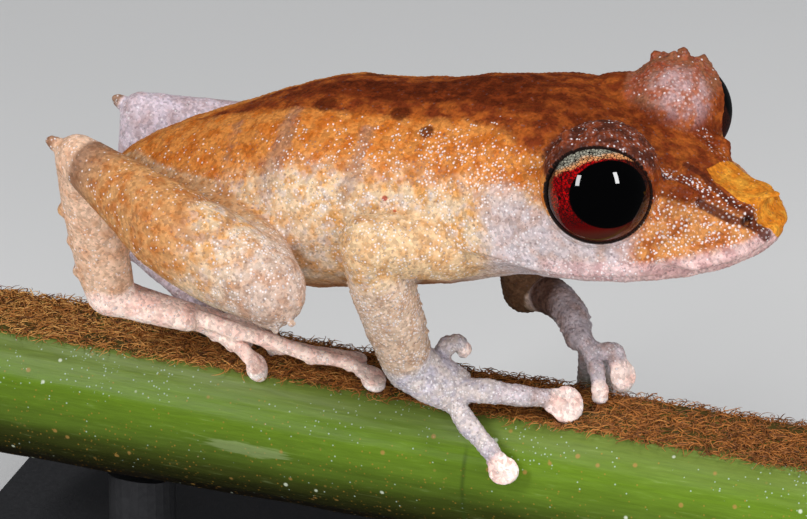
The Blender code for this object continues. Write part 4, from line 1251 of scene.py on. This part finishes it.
# Marks in the order in which they are laid over one another: mask, colour or pair of colours, cover,
# then which noise breaks up the edge, how much, and how soft the edge is
TRUNK_MARKS = (
    ("bars", BAR, 0.5, "edge", 2.2, 0.40),
    ("smudge", THIGH_BLOTCH, 0.55, "edge", 1.2, 0.40),
    ("brown", BROWN, 1.0, "edge", 1.1, 0.30),
    ("umber", UMBER, 1.0, "broad", 0.8, 0.30),
    ("blotch", UMBER[0], 0.85, "edge", 1.0, 0.25),
)
HEAD_EDGE = ("edge", 0.7, 0.40)
HEAD_MARKS = (
    ("snout", YELLOW, 1.0, "fine", 0.25, 0.20),
    ("band", DARK, 0.9, "edge", 0.9, 0.35),
    ("border", DARK, 0.85, "edge", 0.9, 0.35),
    ("red", RED, 0.8, "fine", 0.6, 0.20),
    ("disc", (PEACH, FOOT_BLOTCH), 0.85),
    ("pad", PAD, 0.85),
)


def skin_layers():
    """All layers of the skin's colour over that of the belly and the flank, as rows like the marks'."""
    rows = [("orange", ORANGE, 1.0, "edge", 1.0, 0.40)]
    rows += [(name, (main, other), LIMB_COVER) for name, main, other in LIMBS]
    rows += TRUNK_MARKS
    rows += [(name, (main, other), cover, *HEAD_EDGE) for name, main, other, cover in HEAD]
    return rows + list(HEAD_MARKS)


def skin_material():
    s = Shade("frog_skin")
    noises = {"broad": s.noise(2.2), "fine": s.noise(0.22)}
    noises["edge"] = s.plus(s.times(s.noise(0.75, 4.0), 0.5), s.times(noises["fine"], 0.5))
    patchy = s.step(s.noise(0.5, 4.0), 0.40, 0.66)

    def laid(colour, name, tints, cover=1.0, noise=None, amount=0.0, width=0.0):
        mask = s.ragged(s.mask(name), noises[noise], amount, width) if noise else s.mask(name)
        return s.paint(colour, mask, cover, s.mix(patchy, *tints) if len(tints) == 2 else tints)

    # Base: the belly's tone with its painted shade, then the throat and the flank over it.
    colour = laid(s.mix(patchy, *BELLY_AND_SHADE), "throat", THROAT)
    colour = laid(colour, "flank", CREAM)
    colour = s.paint(colour, s.times(s.step(s.noise(0.34, 4.0), 0.50, 0.62), s.mask("flank")), 0.5, LILAC)
    for row in skin_layers():
        colour = laid(colour, *row)

    grain = s.cells(GRAIN)
    chance = s.chances(grain)
    tone = s.plus(GRAIN_TONES[0], s.times(chance[2], GRAIN_TONES[1]))
    colour = s.mix(1.0, colour, tone, blend="MULTIPLY")
    # White grains and white granule tops: partly the skin's own pale granules, partly painted glints of the
    # wet skin.
    clump = s.times(s.step(s.noise(0.7, 4.0), 0.28, 0.72), 1.1)
    white = s.maths("LESS_THAN", chance[0], s.times(s.mask("salt_and_glint"), clump))
    colour = s.paint(colour, s.times(white, s.step(grain["Distance"], 0.52, 0.16)), 0.72, WHITE_AND_GLINT)
    dark = s.maths("LESS_THAN", chance[1], s.times(s.mask("pepper"), 0.30))
    colour = s.paint(colour, s.times(dark, s.step(grain["Distance"], 0.50, 0.25)), 0.45, PEPPER)
    clump = s.maths("MAXIMUM", s.step(s.noise(0.5, 4.0), 0.38, 0.56), s.mask("ridge"))
    tops = s.times(s.step(s.mask("granule"), 0.50, 0.92), clump)
    colour = s.paint(colour, tops, s.mask("coarse_and_glint"), WHITE_AND_GLINT)
    # Painted shade: the nostril's pit is painted black.
    colour = s.mix(s.mask("nostril"), colour, BLACK)
    # The dark lid margin round each eye: partly the lid's own dark edge, partly painted shade, widest under
    # the eye.
    colour = s.mix(s.step(s.mask("rim"), 0.45, 0.85), colour, BLACK)
    rough = s.plus(0.46, s.times(s.noise(0.4), 0.2))
    normal = s.bump(s.maths("SUBTRACT", 1.0, grain["Distance"]), 0.022, 0.6)
    normal = s.bump(s.noise(0.06, 2.0), 0.012, 0.5, normal)
    return s.finish(Base_Color=colour, Roughness=rough, Normal=normal, IOR=1.38, Specular_IOR_Level=0.14,
                    Coat_Weight=0.06, Coat_Roughness=0.16, Coat_IOR=1.33, Subsurface_Weight=0.12,
                    Subsurface_Radius=(0.0006, 0.0003, 0.00018), Subsurface_Scale=0.4)


# Eyes

EYE_MESH = (96, 128)          # rings and segments of an eyeball


def eye_piece(side):
    name = "eyeball_right" if side < 0 else "eyeball_left"
    axis = facing(side, EYE_AZIMUTH, EYE_TILT)
    across = to_head((0, 0, 1)).cross(axis).normalized()
    rings, segments = EYE_MESH
    verts, faces = [], []
    for i in range(rings + 1):
        arc = pi * i / rings
        for k in range(segments):
            turn = 2 * pi * k / segments
            verts.append((sin(arc) * cos(turn), sin(arc) * sin(turn), cos(arc)))
    verts = np.array(verts) * EYE_RADIUS
    for i in range(rings):
        for k in range(segments):
            n = (k + 1) % segments
            faces.append((i * segments + k, (i + 1) * segments + k, (i + 1) * segments + n, i * segments + n))
    obj = mesh_from(name, verts, np.array(faces))
    obj.matrix_world = placed(eye_centre(side), across, axis.cross(across), axis)
    return obj


def eye_material(side):
    """A wet black pupil in a red iris that darkens forward, with a silvery arc over it."""
    s = Shade("frog_eye_right" if side < 0 else "frog_eye_left")
    split = s.put("ShaderNodeSeparateXYZ", {"Vector": s.place()}).outputs
    x, y, z = (s.maths("DIVIDE", split[axis], EYE_RADIUS * MM) for axis in "XYZ")
    forward = s.times(x, -float(side))

    def reach(across, along):
        flat = s.put("ShaderNodeCombineXYZ", {"X": across, "Y": along}).outputs[0]
        return s.put("ShaderNodeVectorMath", {0: flat}, operation="LENGTH").outputs["Value"]

    pupil = s.step(reach(s.maths("DIVIDE", x, PUPIL_HALF_WIDTH), s.maths("DIVIDE", y, PUPIL_HALF_HEIGHT)),
                   1.015, 0.985)
    net = s.step(s.cells(0.12, feature="DISTANCE_TO_EDGE")["Distance"], 0.02, 0.13)
    flecks = s.noise(0.12)
    red = s.mix(s.step(flecks, 0.35, 0.65), (0.09, 0.0, 0.001), (0.42, 0.002, 0.003))
    red = s.mix(s.step(y, 0.1, -0.5), red, (0.085, 0.001, 0.001))
    red = s.mix(s.step(forward, -0.15, 0.65), red, (0.030, 0.006, 0.003))
    red = s.mix(s.step(y, -0.55, -0.80), red, (0.060, 0.014, 0.008))
    arch = s.shaken(s.plus(y, s.times(s.times(x, x), 0.35)), s.noise(0.3), 0.16)
    warm = s.mix(flecks, (0.45, 0.10, 0.02), (0.75, 0.42, 0.18))
    silver = s.mix(s.step(flecks, 0.35, 0.65), (0.13, 0.13, 0.10), (0.42, 0.40, 0.32))
    iris = s.mix(s.step(arch, 0.65, 0.70), red, warm)
    iris = s.mix(s.step(arch, 0.71, 0.79), iris, silver)
    netted = s.maths("MAXIMUM", net, s.step(y, -0.35, -0.7))
    iris = s.mix(netted, (0.006, 0.003, 0.003), iris)
    edge = s.maths("MAXIMUM", s.step(reach(x, y), 0.955, 0.99), s.step(z, 0.20, 0.10))
    iris = s.mix(edge, iris, (0.002, 0.0015, 0.0015))
    colour = s.mix(pupil, iris, (0.0003, 0.0003, 0.0004))
    return s.finish(Base_Color=colour, Roughness=0.5, Specular_IOR_Level=0.0, Coat_Weight=1.0,
                    Coat_Roughness=0.02, Coat_IOR=1.36)


# Stem and its scurf

STEM_ROWS = 260
CUT_ROWS = 6
CUT_LENGTH = 0.3           # how far the rounding of a cut edge reaches along the stem
CUT_DEPTH = 0.12           # how far it draws the edge in
STEM_SINK = 0.05           # how far the stem's skin lies under its outline, to leave room for its relief


def stem_piece():
    """The cut stem, gently fluted along its length, with rounded cut edges."""
    turns = np.radians(np.arange(0, 360, 3.0))
    half = STEM_LENGTH / 2
    rng = np.random.default_rng(SEED + 1)
    phase = rng.uniform(0, 2 * pi, 6)
    rings = []
    xs = np.concatenate([np.linspace(-half, -half + CUT_LENGTH, CUT_ROWS),
                         np.linspace(-half + 0.4, half - 0.4, STEM_ROWS),
                         np.linspace(half - CUT_LENGTH, half, CUT_ROWS)])
    for x in xs:
        inset = CUT_DEPTH * ((max(0.0, abs(x) - half + CUT_LENGTH)) / CUT_LENGTH) ** 2
        reach = np.minimum(STEM_RADIUS, STEM_FLAT / np.maximum(np.cos(turns), 0.001))
        reach = np.where(np.cos(turns) > 0, reach, STEM_RADIUS) - inset
        fine = 0.018 * np.cos(turns * 23 + 0.15 * x + phase[0])
        flute = fine + 0.02 * np.cos(turns * 9 + 0.22 * x + phase[1])
        lumps = 0.03 * np.sin(0.55 * x + 3 * turns + phase[2]) * np.sin(0.9 * x + phase[3])
        reach = reach - STEM_SINK + flute + lumps
        rings.append(np.stack([np.full(len(turns), x), reach * np.sin(turns),
                               STEM_AXIS_Z + reach * np.cos(turns)], 1))
    verts, faces = loft(rings)
    mesh = bpy.data.meshes.new("stem")
    mesh.from_pydata([tuple(Vector(v) * MM) for v in verts], [], faces)
    mesh.shade_smooth()
    return add_object("stem", mesh)


# Colours of the stem by its height, from 0 at the underside to 1 on top; the near-black low stops are painted
# shade
STEM_TONES_AND_SHADE = ((0.14, (0.012, 0.008, 0.002)), (0.36, (0.035, 0.045, 0.005)), (0.52, (0.080, 0.135, 0.010)),
              (0.74, (0.112, 0.200, 0.008)), (0.90, (0.130, 0.185, 0.032)))
STEM_TOP_BROWN = ((0.030, 0.020, 0.004), (0.09, 0.065, 0.014))
STEM_SCRAPE = ((-4.95, -2.84, 9.30), (1.7, 0.8, 0.26))    # middle and radii of a dry, pale scrape
STEM_TOP_RISE = (0.845, 0.885)    # share of the radius over the axis at which green turns to brown
STEM_SEAM = (2.99, 10.9)          # place along X and upper end of a thin dark seam round the stem


def stem_material():
    """Green, streaked along the stem, dark low down as painted shade, and brown under the scurf on top."""
    s = Shade("stem_skin")
    place = s.place()
    split = s.put("ShaderNodeSeparateXYZ", {"Vector": place}).outputs
    stretched = s.put("ShaderNodeMapping", {"Vector": place, "Scale": (0.10, 1.0, 1.0)}).outputs[0]
    streak = s.noise(0.5, 4.0, stretched)
    thread = s.noise(0.10, 3.0, stretched)
    rise = s.maths("DIVIDE", s.maths("SUBTRACT", split["Z"], STEM_AXIS_Z * MM), STEM_RADIUS * MM)
    colour = s.ramp(s.plus(s.times(s.shaken(rise, streak, 0.35), 0.5), 0.5), STEM_TONES_AND_SHADE)
    colour = s.mix(1.0, colour, s.plus(0.72, s.times(thread, 0.56)), blend="MULTIPLY")
    dusty = s.times(s.step(s.noise(2.5), 0.42, 0.62), s.step(rise, 0.25, 0.75))
    dust = s.dots(0.11, s.plus(0.02, s.times(dusty, 0.42)), 0.26)
    colour = s.paint(colour, dust, 0.7, (0.42, 0.52, 0.44))
    rust = s.dots(0.20, s.step(rise, 0.95, -0.2), 0.14, shift=3.1)
    colour = s.paint(colour, rust, 0.6, (0.40, 0.20, 0.03))
    seam = s.maths("ABSOLUTE", s.maths("SUBTRACT", split["X"], STEM_SEAM[0] * MM))
    low = s.step(split["Z"], STEM_SEAM[1] * MM, (STEM_SEAM[1] - 0.8) * MM)
    colour = s.paint(colour, s.times(s.step(seam, 0.13 * MM, 0.0), low), 0.55, (0.030, 0.055, 0.006))

    def vector(operation, *values):
        return s.put("ShaderNodeVectorMath", dict(enumerate(values)), operation=operation).outputs

    middle, radii = STEM_SCRAPE
    off = vector("ADD", place, tuple(-c * MM for c in middle))[0]
    scaled = vector("MULTIPLY", off, tuple(1 / (r * MM) for r in radii))[0]
    away = vector("LENGTH", scaled)["Value"]
    scraped = s.ragged(s.step(away, 1.4, 0.4), thread, 1.8, 0.30)
    colour = s.paint(colour, scraped, 0.42, (0.30, 0.36, 0.17))
    specks = s.step(s.cells(0.8)["Distance"], 0.14, 0.06)
    colour = s.paint(colour, specks, 0.75, (0.36, 0.20, 0.05))
    flecks = s.step(s.cells(1.1, s.moved((0.5, 0.2, 0.7)))["Distance"], 0.09, 0.04)
    colour = s.paint(colour, flecks, 0.85, (0.60, 0.66, 0.52))
    wavy = s.shaken(rise, s.noise(0.35), 0.05)
    colour = s.mix(s.step(wavy, *STEM_TOP_RISE), colour, s.mix(s.noise(0.2), *STEM_TOP_BROWN))
    normal = s.bump(streak, 0.06, 0.5)
    normal = s.bump(thread, 0.02, 0.4, normal)
    return s.finish(Base_Color=colour, Roughness=0.42, Normal=normal, IOR=1.4, Specular_IOR_Level=0.3)


SCURF_EDGES = (-1.42, 1.60)    # how far the scurf reaches over the near and the far edge of the flat
SCURF_PARTS = ("rear", "front")
SCURF_HAIRS = 6000    # in each part
SCURF_FRONT_SHADE = 0.62              # painted shade: how much darker the hairs are at the front end than at the rear
HAIR_MESH = (4, 3)             # segments and sides of a hair
HAIR_LENGTH = (0.30, 0.80)
HAIR_RADIUS = (0.016, 0.030)
HAIR_CURL = (-4.2, 4.2)        # radians that it turns over its length
HAIR_LIFT = (0.05, 0.60)       # how steeply it rises from its root
HAIR_SINK = 0.06               # how deep its root is in the stem
HAIR_TAPER = 0.75
HAIR_PATCH = 0.003             # size of its patch on the unwrapped surface


def scurf_piece(part):
    """Half the curly rust-coloured hairs over the flat top of the stem."""
    rng = np.random.default_rng(SEED + 2 + part)
    half = STEM_LENGTH / 2
    edge = sqrt(STEM_RADIUS ** 2 - STEM_FLAT ** 2)
    verts, faces, uvs, tones = [], [], [], []
    segments, sides = HAIR_MESH
    for _ in range(SCURF_HAIRS):
        x = rng.uniform(-half + 0.2, -0.1) if part == 0 else rng.uniform(0.1, half - 0.2)
        y = rng.uniform(*SCURF_EDGES)
        root = np.array([x, y, STEM_AXIS_Z + min(STEM_FLAT, sqrt(STEM_RADIUS ** 2 - y * y)) - HAIR_SINK])
        length = rng.uniform(*HAIR_LENGTH)
        heading = rng.normal(0.0, 0.55) + pi * rng.integers(2)
        curl = rng.uniform(*HAIR_CURL)
        lift = rng.uniform(*HAIR_LIFT)
        # Painted shade: the hairs darken towards the stem's front end.
        front_shade = SCURF_FRONT_SHADE * (x + half) / STEM_LENGTH
        tones += [rng.uniform(0.0, 1.0) * (1 - front_shade)] * ((segments + 1) * sides)
        point = root.copy()
        spots = [point.copy()]
        for k in range(segments):
            heading += curl / segments
            rise = lift * cos(pi * (k + 0.5) / segments)
            point = point + np.array([cos(heading), sin(heading), rise]) * length / segments
            spots.append(point.copy())
        start = len(verts)
        thick = rng.uniform(*HAIR_RADIUS)
        for k, p in enumerate(spots):
            w = thick * (1 - HAIR_TAPER * (k / segments) ** 2)
            for n in range(sides):
                a = 2 * pi * n / sides
                off = (-sin(heading) * cos(a) * w, cos(heading) * cos(a) * w, sin(a) * w)
                verts.append(p + np.array(off))
        u, v = (x + half) / STEM_LENGTH, 0.5 + y / (8 * edge)
        for k in range(segments):
            for n in range(sides):
                m = (n + 1) % sides
                a, b = start + k * sides, start + (k + 1) * sides
                faces.append((a + n, a + m, b + m, b + n))
                for row, col in ((k, n), (k, n + 1), (k + 1, n + 1), (k + 1, n)):
                    uvs.append((u + HAIR_PATCH * col / sides, v + HAIR_PATCH * row / segments))
    obj = mesh_from("stem_scurf_" + SCURF_PARTS[part], np.array(verts), np.array(faces))
    layer = obj.data.uv_layers.new(name="OFBake")
    layer.data.foreach_set("uv", np.array(uvs, dtype=np.float32).ravel())
    layer = obj.data.attributes.new("tone", "FLOAT", "POINT")
    layer.data.foreach_set("value", np.array(tones, dtype=np.float32))
    return obj


SCURF_TONES = ((0.0, (0.10, 0.032, 0.007)), (0.40, (0.48, 0.170, 0.032)), (1.0, (0.95, 0.52, 0.15)))


def scurf_material():
    s = Shade("scurf")
    return s.finish(Base_Color=s.ramp(s.mask("tone"), SCURF_TONES), Roughness=0.55)


def stand_material():
    s = Shade("stand_matt")
    grain = s.noise(0.18, 5.0)
    colour = s.mix(grain, (0.018, 0.018, 0.020), (0.040, 0.040, 0.043))
    rough = s.plus(0.42, s.times(grain, 0.2))
    return s.finish(Base_Color=colour, Roughness=rough, Normal=s.bump(grain, 0.03, 0.35))


def floor_material():
    s = Shade("floor_pale")
    tone = s.mix(s.noise(30.0, 2.0), (0.70, 0.695, 0.685), (0.75, 0.745, 0.735))
    return s.finish(Base_Color=tone, Roughness=0.7)


# Stage, lights and camera

STUDIO_LIGHT = (0.36, 0.05)    # strength of the light all round, and of what wet surfaces mirror of it
FLOOR_REACH = 1500.0


def build_stage():
    corners = np.array([(-1, -1, 0), (1, -1, 0), (1, 1, 0), (-1, 1, 0)]) * FLOOR_REACH
    floor = mesh_from("floor", corners, np.array([(0, 1, 2, 3)]), smooth=False)
    floor.data.materials.append(floor_material())
    floor.visible_glossy = False
    world = bpy.data.worlds.new("studio")
    world.use_nodes = True
    nodes, links = world.node_tree.nodes, world.node_tree.links
    background = nodes["Background"]
    background.inputs["Color"].default_value = (0.92, 0.95, 1.0, 1.0)
    rays = nodes.new("ShaderNodeLightPath")
    strength = nodes.new("ShaderNodeMapRange")
    strength.inputs["To Min"].default_value, strength.inputs["To Max"].default_value = STUDIO_LIGHT
    links.new(rays.outputs["Is Glossy Ray"], strength.inputs["Value"])
    links.new(strength.outputs["Result"], background.inputs["Strength"])
    bpy.context.scene.world = world


def view_axes():
    """Right, up and towards the camera."""
    back = Vector((sin(VIEW_AZIMUTH) * cos(VIEW_ELEVATION), -cos(VIEW_AZIMUTH) * cos(VIEW_ELEVATION),
                   sin(VIEW_ELEVATION)))
    right = Vector((cos(VIEW_AZIMUTH), sin(VIEW_AZIMUTH), 0))
    return right, back.cross(right), back


# Softboxes: direction from the near eye as right, up and towards the camera, then size, power,
# and whether wet surfaces mirror it
SOFTBOXES = (
    ((-0.700, 0.365, 0.613), (19.0, 45.0), 0.0720, True),
    ((0.582, 0.454, 0.674), (18.0, 49.0), 0.0960, True),
    ((0.05, -0.26, 0.96), (120.0, 90.0), 0.076, False),
)
LIGHT_DISTANCE = 120.0


def build_lights():
    """Softboxes aimed at the near eye, each one standing upright as the camera sees it."""
    right, up, back = view_axes()
    focus = eye_centre(-1)
    for i, (way, size, power, mirrored) in enumerate(SOFTBOXES):
        toward = (right * way[0] + up * way[1] + back * way[2]).normalized()
        across = up.cross(toward).normalized()
        lamp = bpy.data.lights.new("softbox_%d" % (i + 1), "AREA")
        lamp.shape = "RECTANGLE"
        lamp.size, lamp.size_y = size[0] * MM, size[1] * MM
        lamp.energy = power
        obj = add_object(lamp.name, lamp)
        obj.matrix_world = placed(focus + toward * LIGHT_DISTANCE, across, toward.cross(across), toward)
        obj.visible_glossy = mirrored


def build_camera():
    right, up, back = view_axes()
    camera = bpy.data.cameras.new("camera")
    camera.sensor_width = SENSOR
    camera.lens = LENS
    camera.clip_start, camera.clip_end = 0.005, 10.0
    obj = add_object("camera", camera)
    obj.matrix_world = placed(VIEW_TARGET + back * VIEW_DISTANCE, right, up, back)
    bpy.context.scene.camera = obj


for obj in list(bpy.data.objects):
    bpy.data.objects.remove(obj)
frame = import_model()

bpy.context.scene.view_settings.view_transform = "Standard"
build_camera()
build_stage()
build_lights()

skin = main_skin()
skin.data.materials.append(skin_material())
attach(skin, "root")
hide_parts(*FLESH)

for side, node in ((-1, "eye_right"), (1, "eye_left")):
    eye = eye_piece(side)
    eye.data.materials.append(eye_material(side))
    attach(eye, "root")
    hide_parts(node)

stem = stem_piece()
stem.data.materials.append(stem_material())
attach(stem, "root")
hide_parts("perch_stem")

scurf_look = scurf_material()
for part in range(len(SCURF_PARTS)):
    scurf = scurf_piece(part)
    scurf.data.materials.append(scurf_look)
    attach(scurf, "root")

stand_look = stand_material()
for name, node in frame["nodes"].items():
    if name.startswith("stand_"):
        node.data.materials.clear()
        node.data.materials.append(stand_look)
